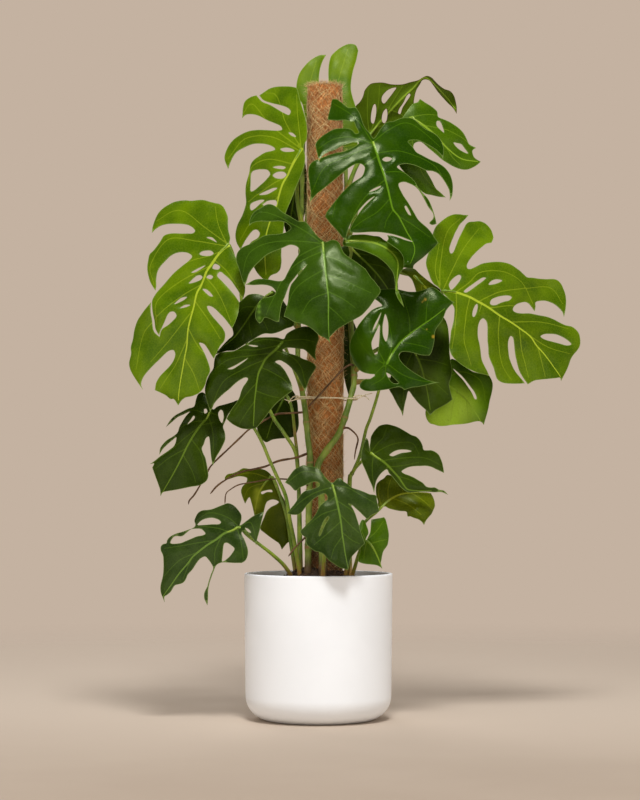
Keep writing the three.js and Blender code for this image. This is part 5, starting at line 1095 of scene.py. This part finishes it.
def blade_mesh(edge, holes, veins):
    """Triangles that fill the outline, with the veins along their sides."""
    loops = [edge, *holes]
    closed = [np.vstack([loop, loop[:1]]) for loop in loops]
    low, high = edge.min(0), edge.max(0)
    rows = np.arange(low[1], high[1], BLADE_GRID * 0.866)
    columns = np.arange(low[0], high[0], BLADE_GRID)
    grid = [(x + BLADE_GRID / 2 * (k % 2), z) for k, z in enumerate(rows) for x in columns]
    midrib = veins[0]
    way = np.gradient(midrib, axis=0)
    way /= length_of(way)[:, None]
    across = np.stack([-way[:, 1], way[:, 0]], 1)
    beside = np.concatenate([midrib + side * across for side in (-RIDGE_FOOT, RIDGE_FOOT)])
    beside = beside[inside_of(beside, edge)]
    beside = beside[gap_to(beside, closed + veins) > RIDGE_CLEAR]
    grid = np.array(grid)
    grid = grid[inside_of(grid, edge)]
    grid = grid[gap_to(grid, closed + veins) > GRID_CLEAR]
    if len(beside):
        grid = grid[length_of(grid[:, None] - beside).min(1) > RIDGE_GRID_CLEAR]
    spots, sides = [], []
    for loop in loops:
        first, count = len(spots), len(loop)
        spots += loop.tolist()
        sides += [(first + k, first + (k + 1) % count) for k in range(count)]
    for vein in veins:
        first = len(spots)
        spots += vein.tolist()
        sides += [(first + k, first + k + 1) for k in range(len(vein) - 1)]
    spots += beside.tolist() + grid.tolist()
    result = delaunay_2d_cdt([Vector(s) for s in spots], sides, [], 0, 1e-4)
    points = np.array([tuple(v) for v in result[0]])
    triangles = np.array(result[2])
    middles = points[triangles].mean(1)
    kept = inside_of(middles, edge)
    for hole in holes:
        kept &= ~inside_of(middles, hole)
    triangles = triangles[kept]
    a, b, c = (points[triangles[:, k]] for k in range(3))
    areas = (b[:, 0] - a[:, 0]) * (c[:, 1] - a[:, 1]) - (b[:, 1] - a[:, 1]) * (c[:, 0] - a[:, 0])
    triangles = triangles[abs(areas) > 1e-6]
    turned_round = areas[abs(areas) > 1e-6] < 0
    triangles[turned_round] = triangles[turned_round][:, ::-1]
    used, triangles = np.unique(triangles, return_inverse=True)
    return points[used], triangles.reshape(-1, 3), closed


def normals_of(points, triangles):
    a, b, c = (points[triangles[:, k]] for k in range(3))
    turns = np.cross(b - a, c - a)
    total = np.zeros_like(points)
    for k in range(3):
        np.add.at(total, triangles[:, k], turns)
    return total / np.maximum(length_of(total), 1e-12)[:, None]


def rim_walls(triangles, shift):
    """The faces between the two sides of a plate along its open edges."""
    sides = np.concatenate([triangles[:, [0, 1]], triangles[:, [1, 2]], triangles[:, [2, 0]]])
    known = set(map(tuple, sides.tolist()))
    return [(b, a, a + shift, b + shift) for a, b in known if (b, a) not in known]


def stalk_radii(lengths, from_soil):
    """A stalk tapers, is thicker at its foot and swells a little just under the blade."""
    whole = lengths[-1]
    radii = STALK_RADIUS - STALK_TAPER * lengths / whole
    radii += (1.0 if from_soil else 1.7) * np.exp(-lengths / 22)
    radii += 0.7 * np.exp(-(((whole - lengths - STALK_RUN - 14) / 11) ** 2))
    radii *= 0.35 + 0.65 * np.clip((whole - lengths) / STALK_RUN, 0, 1) ** 0.5
    return radii


def stalk_mesh(leaf, midrib, rng):
    """The stalk, which runs on under the first stretch of the midrib, and how tan its points are."""
    foot = [float(value) for value in numbers(leaf["stalk"])[0]]
    path = space(leaf["stalk"])
    from_soil = foot[2] < SOIL_REACH
    if from_soil:
        path = np.vstack([at([[foot[0], foot[1], ROOT_DEPTH]]), path])
    run = midrib[: max(3, round(STALK_RUN / VEIN_STEP))]
    run = run[len(run) // 3 :: max(1, len(run) // 3)]
    under_run = at(np.stack([run[:, 0], depth_of(leaf, run) + 1.2 * leaf.get("side", 1), run[:, 1]], 1))
    path = smooth(np.vstack([path, under_run]), STALK_STEP)
    lengths = along(path)
    angles = np.arange(STALK_SIDES) * TURN / STALK_SIDES
    flute = 1 - 0.1 * np.maximum(0, np.cos(angles)) ** 4
    grain = flute + rng.normal(0, 0.012, (len(path), STALK_SIDES))
    points, faces = tube(path, stalk_radii(lengths, from_soil), STALK_SIDES, grain=grain)

    sheath_gap = points[::STALK_SIDES, 2] - leaf.get("sheath", NO_SHEATH)
    old_sheath = 0.7 * np.exp(-((sheath_gap / 45) ** 2))
    foot_start, foot_fade = (40, 60) if from_soil else (0, 30)
    tan = old_sheath + np.exp(-np.maximum(0, lengths - foot_start) / foot_fade)
    return points, faces, np.repeat(tan, STALK_SIDES)


def blade_sides(leaf, spots, triangles, main, share, rib_gap, rim, rng):
    """The points of a blade's upper and lower side. It swells between its veins, rolls back at its margin and
    is a little uneven. main, rib_gap and rim are the gaps to its midrib, ribs and margin."""
    side = leaf.get("side", 1)
    quilt = QUILT_HEIGHT * (1 - np.exp(-((np.minimum(main, rib_gap) / QUILT_REACH) ** 2)))
    roll = ROLL_DEPTH * np.exp(-rim / ROLL_REACH)
    uneven = SWELL * ripple(spots, rng, 140) + SWELL * np.exp(-rim / 18) * ripple(spots, rng, 55)
    base = at(np.stack([spots[:, 0], depth_of(leaf, spots), spots[:, 1]], 1))
    up = normals_of(base, triangles) * side
    surface = base + up * (quilt - roll + uneven)[:, None]
    up = normals_of(surface, triangles) * side
    half = BLADE_HALF - (BLADE_HALF - RIM_HALF) * np.exp(-rim / 3)
    taper = 1 - 0.75 * share
    groove = MIDRIB_GROOVE * taper * np.exp(-((main / 1.8) ** 2))
    ridge = MIDRIB_HEIGHT * taper * np.exp(-((main / 1.9) ** 2))
    ridge = np.maximum(ridge, RIB_HEIGHT * np.exp(-((rib_gap / 1.5) ** 2)))
    ridge *= np.clip(rim / 2, 0, 1)
    return surface + up * (half - groove)[:, None], surface - up * (half + ridge)[:, None]


def places(text, spots):
    """A field over the spots that rises or falls round each "x z reach amount" place."""
    field = np.zeros(len(spots))
    for x, z, reach, amount in (map(float, entry) for entry in numbers(text)):
        field += amount * np.exp(-((length_of(spots - [x, z]) / reach) ** 2))
    return field


def leaf_piece(name, leaf, number):
    rng = np.random.default_rng(SEED + number)
    midrib = smooth(plane(leaf["midrib"]), VEIN_STEP)
    ribs = [smooth(plane(text), VEIN_STEP) for text in leaf["ribs"]]
    holes = [outline(text) for text in leaf.get("holes", [])]
    spots, triangles, rims = blade_mesh(outline(leaf["edge"]), holes, [midrib, *ribs])
    count = len(spots)

    main, share = nearest(spots, midrib)
    side_vein = np.full(count, FAR)
    rib_gap = np.full(count, FAR)
    for rib in ribs:
        gap, part = nearest(spots, rib)
        rib_gap = np.minimum(rib_gap, gap)
        side_vein = np.minimum(side_vein, gap / (RIB_WIDTH - RIB_TAPER * part))
    main_vein = main / (MIDRIB_WIDTH - MIDRIB_TAPER * share)
    rim = gap_to(spots, rims)
    top, under = blade_sides(leaf, spots, triangles, main, share, rib_gap, rim, rng)
    near, far, near_shade, far_shade = (top, under, 0, 1) if leaf.get("side", 1) > 0 else (under, top, 1, 0)
    walls = rim_walls(triangles, count)
    blade_faces = triangles.tolist() + (triangles[:, ::-1] + count).tolist() + walls
    stalk, stalk_faces, tan = stalk_mesh(leaf, midrib, rng)
    vertices, faces = joined([(np.concatenate([near, far]), blade_faces), (stalk, stalk_faces)])
    shades = [near_shade] * len(triangles) + [far_shade] * len(triangles) + [near_shade] * len(walls)
    shades += [2] * len(stalk_faces)

    def whole(blade, stalk_value):
        """A value for both sides of the blade, then one for the stalk."""
        return np.concatenate([blade, blade, stalk_value + np.zeros(len(stalk))])

    attributes = {
        "main_vein": whole(main_vein, NO_VEIN),
        "side_vein": whole(side_vein, NO_VEIN),
        "edge": whole(rim, NO_VEIN),
        "tint_and_painted_light": whole(places(leaf.get("tints_and_painted_light", NOWHERE), spots), 0),
        "mark": whole(places(leaf.get("marks", NOWHERE), spots), 0),
        "foot": whole(np.zeros(count), tan),
    }
    materials = [*blades[leaf["look"]], stalk_green]
    dress(build(name + "_blade", vertices, faces, materials, shades, attributes, 60), "leaf", name)


# Stems and roots
LEAF_SCAR = np.array([54.0, 546.0])
RING_FIRST, RING_STEP, RING_SHIFT = 46, 76, 26
STEM_SIDES = 20
ROOT_SIDES = 10


def stem_piece(name, text, radii, number):
    rng = np.random.default_rng(SEED * 3 + number)
    points = space(text)
    path = smooth(np.vstack([[points[0][0], points[0][1], ROOT_DEPTH], points]), 3)
    lengths = along(path)
    rings = np.arange(RING_FIRST, lengths[-1], RING_STEP)
    rings = rings + rng.uniform(-RING_SHIFT, RING_SHIFT, len(rings))
    gaps = lengths[:, None] - rings
    ring = (rng.uniform(0.3, 0.9, len(rings)) * np.exp(-((gaps / 3.2) ** 2))).sum(1)
    swell = 1.1 * np.exp(-((gaps / 6) ** 2)).sum(1)
    thick = np.interp(lengths, [0, lengths[-1]], radii) + swell
    grain = 1 + rng.normal(0, 0.02, (len(path), STEM_SIDES))
    vertices, faces = tube(path, thick, STEM_SIDES, grain=grain)
    foot = np.exp(-np.maximum(0, lengths - 60) / 30)
    scar = 1.2 * np.exp(-((length_of(vertices[:, [0, 2]] - LEAF_SCAR) / 9) ** 2))
    attributes = {"ring": np.repeat(ring, STEM_SIDES) + scar, "foot": np.repeat(foot, STEM_SIDES)}
    dress(build(name + "_bark", vertices, faces, [stem_bark], None, attributes, 80), "stem", name)


def root_piece(name, text, radii, number):
    rng = np.random.default_rng(SEED * 5 + number)
    path = smooth(space(text), 2.5)
    lengths = along(path)
    thick = np.interp(lengths, [0, lengths[-1]], radii) * (1 + 0.1 * np.sin(lengths / 7))
    thick *= np.clip((lengths[-1] - lengths) / 6 + 0.25, 0, 1)
    grain = 1 + rng.normal(0, 0.05, (len(path), ROOT_SIDES))
    vertices, faces = tube(path, thick, ROOT_SIDES, grain=grain)
    dress(build(name + "_bark", vertices, faces, [root_bark], None, None, 80), "root", name)


# The coir pole: rough matting, loose fibres and hairs all over it, and a net drawn tight in diamonds
FIBRE_COUNT = 6400
HAIR_COUNT = 3200
HAIRS_ON_TOP = 0.35
NET_THREADS = 8
NET_PITCH = 236
NET_STEP = 6
MATTING_SIDES = 120
MATTING_ROWS = 330
MATTING_RADIUS = 32
MATTING_DEPTH = 2.4
CHEVRON_HEIGHT = 15
CHEVRON_COUNT = 5
FIBRE_POINTS = 5


def pole_place(height, angle, proud):
    """A point beside the pole's side at a height, at an angle round it, proud of its surface."""
    heights = [z for _, z in POLE_AXIS]
    centre = np.interp(height, heights, [x for x, _ in POLE_AXIS])
    radius = np.interp(height, heights, POLE_RADII) + proud
    return np.stack([centre + radius * np.cos(angle), radius * np.sin(angle), height + 0 * radius], -1)


def coir_material(name, dark, light):
    paint = Paint(name, specular_ior_level=0.2)
    strand = paint.ramp(paint.attribute("tone"), 0, 1)
    body = paint.blend(strand, colour(*dark), colour(*light))
    body = paint.blend(paint.ramp(paint.noise(20), 0.4, 0.75, 0, 0.3), body, colour(118, 74, 42))
    height = paint.node("ShaderNodeSeparateXYZ", {0: paint.place}).outputs["Z"]
    # Painted shade: the pole turns darker towards its top, where the leaves above shade it.
    body = paint.blend(paint.ramp(height, 1.0, 1.15, 0, 0.35), body, colour(118, 74, 42))
    # Darker at the foot: partly wet, dark coir and partly painted shade.
    body = paint.blend(paint.ramp(height, 0.42, 0.3, 0, 0.8), body, colour(54, 35, 22))
    # Painted shade: dark gaps between the fibres, where shade falls.
    gaps = paint.noise(2.4, 3, (1, 1, 0.6))
    body = paint.blend(paint.ramp(gaps, 0.5, 0.3, 0, 0.55), body, colour(76, 44, 24))
    fuzz = paint.noise(0.9, 3, (1, 1, 0.3))
    body = paint.blend(paint.ramp(fuzz, 0.4, 0.75, 0, 0.35), body, colour(*light))
    paint.bump(fuzz, 0.8, 0.9)
    return paint.finish(body, paint.ramp(fuzz, 0.3, 0.7, 0.85, 1.0))


def fibre_bunch(name, paths, radii, tones, material, sides=3):
    """Fibres as thin tubes that taper to half, each of one tone."""
    tubes = [tube(path, radius * np.linspace(1, 0.5, len(path)), sides) for path, radius in zip(paths, radii)]
    vertices, faces = joined(tubes)
    shades = np.repeat(tones, [len(points) for points, _ in tubes])
    dress(build(name, vertices, faces, [material], None, {"tone": shades}, 180), "coir", "coir_pole")


def pole_matting(rng, material):
    heights = np.repeat(np.linspace(POLE_LOW, POLE_HIGH, MATTING_ROWS), MATTING_SIDES)
    angles = np.tile(np.arange(MATTING_SIDES) * TURN / MATTING_SIDES, MATTING_ROWS)
    wound = np.stack([np.cos(angles), np.sin(angles)], 1) * MATTING_RADIUS + heights[:, None] * [0.3, 0.7]
    proud = -MATTING_DEPTH + 0.8 * ripple(wound, rng, 26) + rng.normal(0, 0.45, len(heights))
    zigzag = np.arcsin(np.sin(angles * CHEVRON_COUNT))
    proud += 0.9 * np.sin(heights / CHEVRON_HEIGHT * TURN + 2.2 * zigzag)
    vertices = pole_place(heights, angles, proud)
    tones = np.clip(rng.normal(0.35, 0.2, len(vertices)), 0, 1)
    faces = tube_faces(MATTING_ROWS, MATTING_SIDES)
    core = build("coir_matting", vertices, faces, [material], None, {"tone": tones}, 180)
    dress(core, "coir", "coir_pole")


def pole_fibres(rng, material):
    paths, radii, tones = [], [], []
    for _ in range(FIBRE_COUNT):
        start = rng.uniform(SOIL_TOP - 8, POLE_HIGH - 6)
        lean = rng.choice([-1, 1]) * rng.uniform(0.3, 1.5)
        reach = rng.uniform(14, 46)
        share = np.linspace(0, 1, FIBRE_POINTS)
        rise = reach * share * rng.choice([-1, 1])
        height = start + rise + rng.normal(0, 1.2, FIBRE_POINTS)
        height = np.clip(height, SOIL_TOP - 20, POLE_HIGH + 3)
        sway = rng.uniform(0, TURN) + lean * rise / MATTING_RADIUS + rng.normal(0, 0.03, FIBRE_POINTS)
        tone = rng.uniform(0, 1) ** 2
        proud = rng.uniform(-2.0, 0.2) + tone + rng.uniform(0, 1.6) * np.sin(math.pi * share)
        paths.append(pole_place(height, sway, proud))
        radii.append(rng.uniform(0.16, 0.3) + 0.24 * tone)
        tones.append(tone)
    fibre_bunch("coir_fibres", paths, radii, tones, material)


def top_hair(rng, angle, share):
    """A hair that stands on the pole's top."""
    radius = MATTING_RADIUS * math.sqrt(rng.uniform(0, 1)) * (1 + rng.uniform(-0.1, 0.25) * share)
    reach = rng.uniform(2, 12)
    x = POLE_AXIS[-1][0] + radius * np.cos(angle) + rng.normal(0, 5) * share**2
    y = radius * np.sin(angle) + rng.normal(0, 5) * share**2
    return np.stack([x, y, POLE_HIGH - 3 + reach * share], -1)


def side_hair(rng, angle, share):
    """A hair that stands off the pole's side, more of them towards the top."""
    start = rng.uniform(SOIL_TOP, POLE_HIGH) + rng.uniform(0, 0.4) * (POLE_HIGH - 700)
    start = start if start < POLE_HIGH else rng.uniform(900, POLE_HIGH)
    height = start + rng.normal(0, 6) * share + rng.normal(0, 2) * share**2
    return pole_place(height, angle, rng.uniform(3, 11) * share**1.3 - 0.5)


def pole_hairs(rng, material):
    paths, radii, tones = [], [], []
    for k in range(HAIR_COUNT):
        share = np.linspace(0, 1, FIBRE_POINTS)
        angle = rng.uniform(0, TURN) + rng.normal(0, 0.25) * share
        hair = top_hair if k < HAIR_COUNT * HAIRS_ON_TOP else side_hair
        paths.append(hair(rng, angle, share))
        radii.append(rng.uniform(0.14, 0.28))
        tones.append(rng.uniform(0.3, 1))
    fibre_bunch("coir_hairs", paths, radii, tones, material)


def pole_net(material):
    height = np.arange(SOIL_TOP - 14, POLE_HIGH - 2, NET_STEP)
    turn = height / NET_PITCH * TURN + 0.05 * np.sin(height / 13)
    starts = np.arange(NET_THREADS) * TURN / NET_THREADS
    paths = [pole_place(height, way * turn + start, 0.9) for way in (-1, 1) for start in starts]
    fibre_bunch("coir_net", paths, [0.4] * len(paths), [0.7] * len(paths), material, sides=5)


def pole_pieces():
    rng = np.random.default_rng(SEED * 7)
    strands = coir_material("coir_strands", (190, 116, 54), (255, 232, 166))
    pole_matting(rng, coir_material("coir_matting", (160, 92, 42), (255, 180, 104)))
    pole_fibres(rng, strands)
    pole_hairs(rng, strands)
    pole_net(strands)


def wood_material():
    paint = Paint("core_wood", specular_ior_level=0.3)
    grain = paint.noise(3, 4, (1, 1, 0.06))
    body = paint.blend(paint.ramp(grain, 0.3, 0.7), colour(168, 132, 86), colour(206, 174, 124))
    paint.bump(grain, 0.3, 0.3)
    return paint.finish(body, paint.ramp(grain, 0.3, 0.7, 0.6, 0.8))


# The soil: a lumpy dark mound with crumbs and chips of bark on it
CRUMB_COUNT = 1500
CHIP_COUNT = 260
SOIL_RADIUS = POT_RADIUS - POT_WALL - SOIL_GAP
GOLDEN = 1.618


def soil_height(radius):
    radii = [r for r, _ in SOIL_PROFILE]
    return np.interp(radius, radii, [z for _, z in SOIL_PROFILE])


def soil_material(name, dark, light):
    paint = Paint(name, specular_ior_level=0.35)
    grain = paint.noise(2.2, 4)
    body = paint.blend(paint.ramp(paint.noise(14, 4), 0.3, 0.7), colour(*dark), colour(*light))
    body = paint.blend(paint.ramp(grain, 0.55, 0.8, 0, 0.6), body, colour(104, 78, 54))
    paint.bump(grain, 0.7, 1.2)
    return paint.finish(body, paint.ramp(grain, 0.3, 0.7, 0.6, 0.95))


def rock(rng, size):
    """A lump of twelve corners and twenty faces."""
    corners = []
    for a in (-1, 1):
        for b in (-GOLDEN, GOLDEN):
            corners += [(0, a, b), (a, b, 0), (b, 0, a)]
    corners = np.array(corners)
    gaps = length_of(corners[:, None] - corners)
    faces = []
    for a, b, c in combinations(range(12), 3):
        if max(gaps[a, b], gaps[b, c], gaps[a, c]) < 2.1:
            turn = np.cross(corners[b] - corners[a], corners[c] - corners[a]) @ corners[a]
            faces.append((a, b, c) if turn > 0 else (a, c, b))
    return corners / 1.9 * rng.uniform(0.75, 1.25, (12, 1)) * size, faces


def soil_mound(rng, earth):
    """The soil's solid with a crumbly top. It fills the pot with a small gap."""
    low = SOIL_RADIUS - POT_DRAFT
    curve = POT_BOTTOM_ROUND - POT_WALL
    floor = POT_FLOOR + SOIL_GAP
    radii = np.linspace(0, SOIL_RADIUS - 0.5, 62)
    profile = [(radius, float(soil_height(radius))) for radius in radii]
    profile += [(SOIL_RADIUS - 0.4, 240), (low, floor + curve * 1.1)]
    profile += [(low - curve * 0.4, floor + curve * 0.3), (low - curve, floor), (0, floor)]
    vertices, faces = turned(profile[::-1], 200)
    flat = vertices[:, :2]
    crumbly = 1.5 * ripple(flat, rng, 24) + 1.1 * ripple(flat, rng, 9) + rng.normal(0, 0.5, len(vertices))
    vertices[:, 2] += np.where(vertices[:, 2] > SOIL_PROFILE[-1][1], crumbly, 0)
    dress(build("soil_mound", vertices, faces, [earth], None, None, 180), "soil", "soil")


def soil_litter(rng, name, count, material, sizes, stretch, sharp):
    """Lumps strewn over the mound, each turned and tilted at random."""
    lumps = []
    for _ in range(count):
        radius = 5 + (SOIL_RADIUS - 9) * math.sqrt(rng.uniform(0.06, 1))
        angle, turn, tilt = rng.uniform(0, TURN), rng.uniform(0, TURN), rng.normal(0, 0.35)
        lump, faces = rock(rng, rng.uniform(*sizes))
        lump = lump * stretch
        lump[:, 2] += lump[:, 0] * tilt
        cos, sin = math.cos(turn), math.sin(turn)
        lump[:, :2] = lump[:, :2] @ np.array([[cos, sin], [-sin, cos]])
        height = float(soil_height(radius)) + rng.uniform(-0.4, 1.2)
        lumps.append((lump + [radius * math.cos(angle), radius * math.sin(angle), height], faces))
    dress(build(name, *joined(lumps), [material], None, None, sharp), "soil", "soil")


def soil_pieces():
    rng = np.random.default_rng(SEED * 11)
    earth = soil_material("potting_soil", (38, 28, 21), (74, 54, 38))
    bark = soil_material("bark_chips", (70, 48, 32), (120, 86, 56))
    soil_mound(rng, earth)
    soil_litter(rng, "soil_crumbs", CRUMB_COUNT, earth, (0.8, 3.2), (1, 1, 0.8), 180)
    soil_litter(rng, "soil_chips", CHIP_COUNT, bark, (1.6, 3.4), (2.2, 1.1, 0.4), 45)


# The pot: satin white, thin walled, with a wide round edge at the bottom
def arc(x, z, radius, start, end, steps):
    angles = np.radians(np.linspace(start, end, steps))
    return [(x + radius * math.cos(a), z + radius * math.sin(a)) for a in angles]


def pot_piece():
    low = POT_RADIUS - POT_DRAFT
    rim = POT_WALL / 2
    profile = [(0, 0), (low - POT_BOTTOM_ROUND, 0)]
    profile += arc(low - POT_BOTTOM_ROUND, POT_BOTTOM_ROUND, POT_BOTTOM_ROUND, -88, 0, 24)
    profile += [(low + POT_DRAFT * t, POT_BOTTOM_ROUND + (POT_HEIGHT - rim - POT_BOTTOM_ROUND) * t)
                for t in np.linspace(0.08, 0.99, 12)]
    profile += arc(POT_RADIUS - rim, POT_HEIGHT - rim, rim, 0, 180, 13)
    inner = POT_BOTTOM_ROUND - POT_WALL
    profile += arc(low - POT_BOTTOM_ROUND, POT_FLOOR + inner, inner, 0, -88, 16)
    profile += [(0, POT_FLOOR)]
    vertices, faces = turned(profile, 192)
    paint = Paint("satin_ceramic", specular_ior_level=0.45, coat_weight=0.12, coat_roughness=0.25)
    body = paint.blend(paint.ramp(paint.noise(120), 0.3, 0.7), colour(235, 239, 243), colour(239, 243, 247))
    specks = paint.ramp(paint.noise(2.2, 1), 0.72, 0.78, 0, 0.12)
    body = paint.blend(specks, body, colour(206, 198, 186))
    paint.bump(paint.noise(7, 2), 0.08, 0.2)
    satin = paint.finish(body, paint.ramp(paint.noise(40), 0.3, 0.7, 0.42, 0.52))
    dress(build("pot_shell", vertices, faces, [satin], None, None, 50), "pot", "pot")


# The raffia tie: strands laid side by side round the pole and the stems, with loose tails
STRAND_COUNT = 3


def straw_material():
    paint = Paint("raffia_straw", specular_ior_level=0.35)
    grain = paint.noise(1.1, 3, (0.3, 0.3, 1))
    body = paint.blend(paint.ramp(grain, 0.3, 0.7), colour(206, 186, 142), colour(246, 236, 204))
    body = paint.blend(paint.ramp(paint.noise(30), 0.5, 0.75, 0, 0.3), body, colour(160, 126, 84))
    paint.bump(grain, 0.4, 0.4)
    return paint.finish(body, paint.ramp(grain, 0.3, 0.7, 0.5, 0.75))


def raffia_piece():
    rng = np.random.default_rng(SEED * 13)
    loop = plane(TIE_LOOP)
    strands = []
    for k in range(STRAND_COUNT):
        ring = smooth(np.vstack([loop, loop[1]]), 3)
        middle = ring.mean(0)
        ring = middle + (ring - middle) * (1 + rng.uniform(-0.5, 1.2) / 38)
        share = np.linspace(0, 1, len(ring))
        sway = 1.6 * np.sin(share * TURN * rng.uniform(1, 2) + rng.uniform(0, TURN))
        height = TIE_HEIGHT + (k - STRAND_COUNT / 2) * 1.5 + sway
        path = np.stack([ring[:, 0], ring[:, 1], height], 1)
        strands.append((path, np.full(len(path), rng.uniform(0.6, 0.9))))
    for text in TAILS:
        path = smooth(space(text), 3)
        strands.append((path, np.linspace(1.2, 0.7, len(path))))
    vertices, faces = joined([tube(path, thick * 0.6, 8, flat=1.7) for path, thick in strands])
    straw = straw_material()
    dress(build("raffia_strands", vertices, faces, [straw], None, None, 60), "raffia", "raffia_tie")


# The room: a pale floor before a plain backdrop, soft lights and the camera
# The floor's front colour is painted shade and its rear colour painted light.
FRONT_FLOOR_SHADED = colour(168, 152, 136)
REAR_FLOOR_LIT = colour(203, 188, 172)
BACKDROP = colour(196, 178, 161)
CEILING = colour(126, 124, 122)
CEILING_RISE = (0.26, 0.6)
FLOOR_RADIUS = 3000
FLOOR_FADE = (2.9, 0.95)
LENS = 95.04
TILT = 2.22

# Each lamp has its place, the height that it shines on and its size in metres, and its power in watts
LAMPS = {
    "key": ((0.2, -2.3, 3.8), 0.6, 0.95, 142),
    "fill_left": ((-2.7, -2.6, 1.2), 0.5, 2.4, 26),
    "fill_right": ((2.7, -2.6, 1.0), 0.5, 2.4, 26),
    "front": ((0.1, -3.4, 0.9), 0.5, 1.0, 8),
    "rear": ((-0.9, 2.6, 2.9), 0.6, 1.8, 34),
}


def room():
    """A round floor that fades into a backdrop of one plain tone, the same from all sides."""
    paint = Paint("plain_paper", specular_ior_level=0.1)
    fine = paint.ramp(paint.noise(400), 0.3, 0.7, 0, 0.12)
    # Painted shade and light: the floor is darker towards the front and lighter towards the back.
    body = paint.blend(fine, FRONT_FLOOR_SHADED, REAR_FLOOR_LIT)
    depth = paint.node("ShaderNodeSeparateXYZ", {0: paint.place}).outputs["Y"]
    body = paint.blend(paint.ramp(depth, -1.1, 0.5), body, REAR_FLOOR_LIT)
    reach = paint.node("ShaderNodeVectorMath", {0: paint.place}, operation="LENGTH").outputs["Value"]
    paint.feed(paint.shader.inputs["Alpha"], paint.ramp(reach, *FLOOR_FADE))
    vertices, faces = turned([(0, 0), (FLOOR_RADIUS / 2, 0), (FLOOR_RADIUS, 0)], 96)
    build("studio_floor", vertices, faces, [paint.finish(body, 0.95)], None, None, 180)

    world = bpy.data.worlds.new("studio")
    bpy.context.scene.world = world
    world.use_nodes = True
    tree = world.node_tree
    heading = tree.nodes.new("ShaderNodeTexCoord").outputs["Generated"]
    parts = tree.nodes.new("ShaderNodeSeparateXYZ")
    share = tree.nodes.new("ShaderNodeMapRange")
    share.inputs["From Min"].default_value, share.inputs["From Max"].default_value = CEILING_RISE
    tone = tree.nodes.new("ShaderNodeMix")
    tone.data_type = "RGBA"
    tone.inputs[6].default_value = BACKDROP
    tone.inputs[7].default_value = CEILING
    tree.links.new(heading, parts.inputs[0])
    tree.links.new(parts.outputs["Z"], share.inputs["Value"])
    tree.links.new(share.outputs["Result"], tone.inputs[0])
    tree.links.new(tone.outputs[2], tree.nodes["Background"].inputs["Color"])


def softbox(name, place, aim, size, power):
    """A soft square lamp that shines on a height above the pot and isn't seen itself."""
    light = bpy.data.lights.new(name, "AREA")
    light.size = size
    light.energy = power
    lamp = bpy.data.objects.new(name, light)
    lamp.location = place
    lamp.visible_camera = False
    lamp.rotation_euler = (Vector((0, 0, aim)) - Vector(place)).to_track_quat("-Z", "Y").to_euler()
    bpy.context.scene.collection.objects.link(lamp)


def camera():
    """The photograph's view, from the eye of the front elevation, tilted a little past level."""
    lens = bpy.data.cameras.new("camera")
    lens.sensor_fit = "VERTICAL"
    lens.sensor_height = 36
    lens.lens = LENS
    eye = bpy.data.objects.new("camera", lens)
    eye.location = EYE * MM
    eye.rotation_euler = (math.radians(90 + TILT), 0, 0)
    bpy.context.scene.collection.objects.link(eye)
    bpy.context.scene.camera = eye
    bpy.context.scene.view_settings.view_transform = "Standard"


camera()
room()
for name, lamp in LAMPS.items():
    softbox(name, *lamp)

blades = {tone: [blade_material(tone, under) for under in (False, True)] for tone in TONES}
stalk_green = stalk_material()
stem_bark = stem_material()
root_bark = root_material()
for number, (name, leaf) in enumerate(LEAVES.items()):
    leaf_piece(name, leaf, number)
for number, (name, (text, radii)) in enumerate(STEMS.items()):
    stem_piece(name, text, radii, number)
for number, (name, (text, radii)) in enumerate(ROOTS.items()):
    root_piece(name, text, radii, number)
pole_pieces()
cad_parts["pole_core"].material_slots[0].material = wood_material()
soil_pieces()
pot_piece()
raffia_piece()
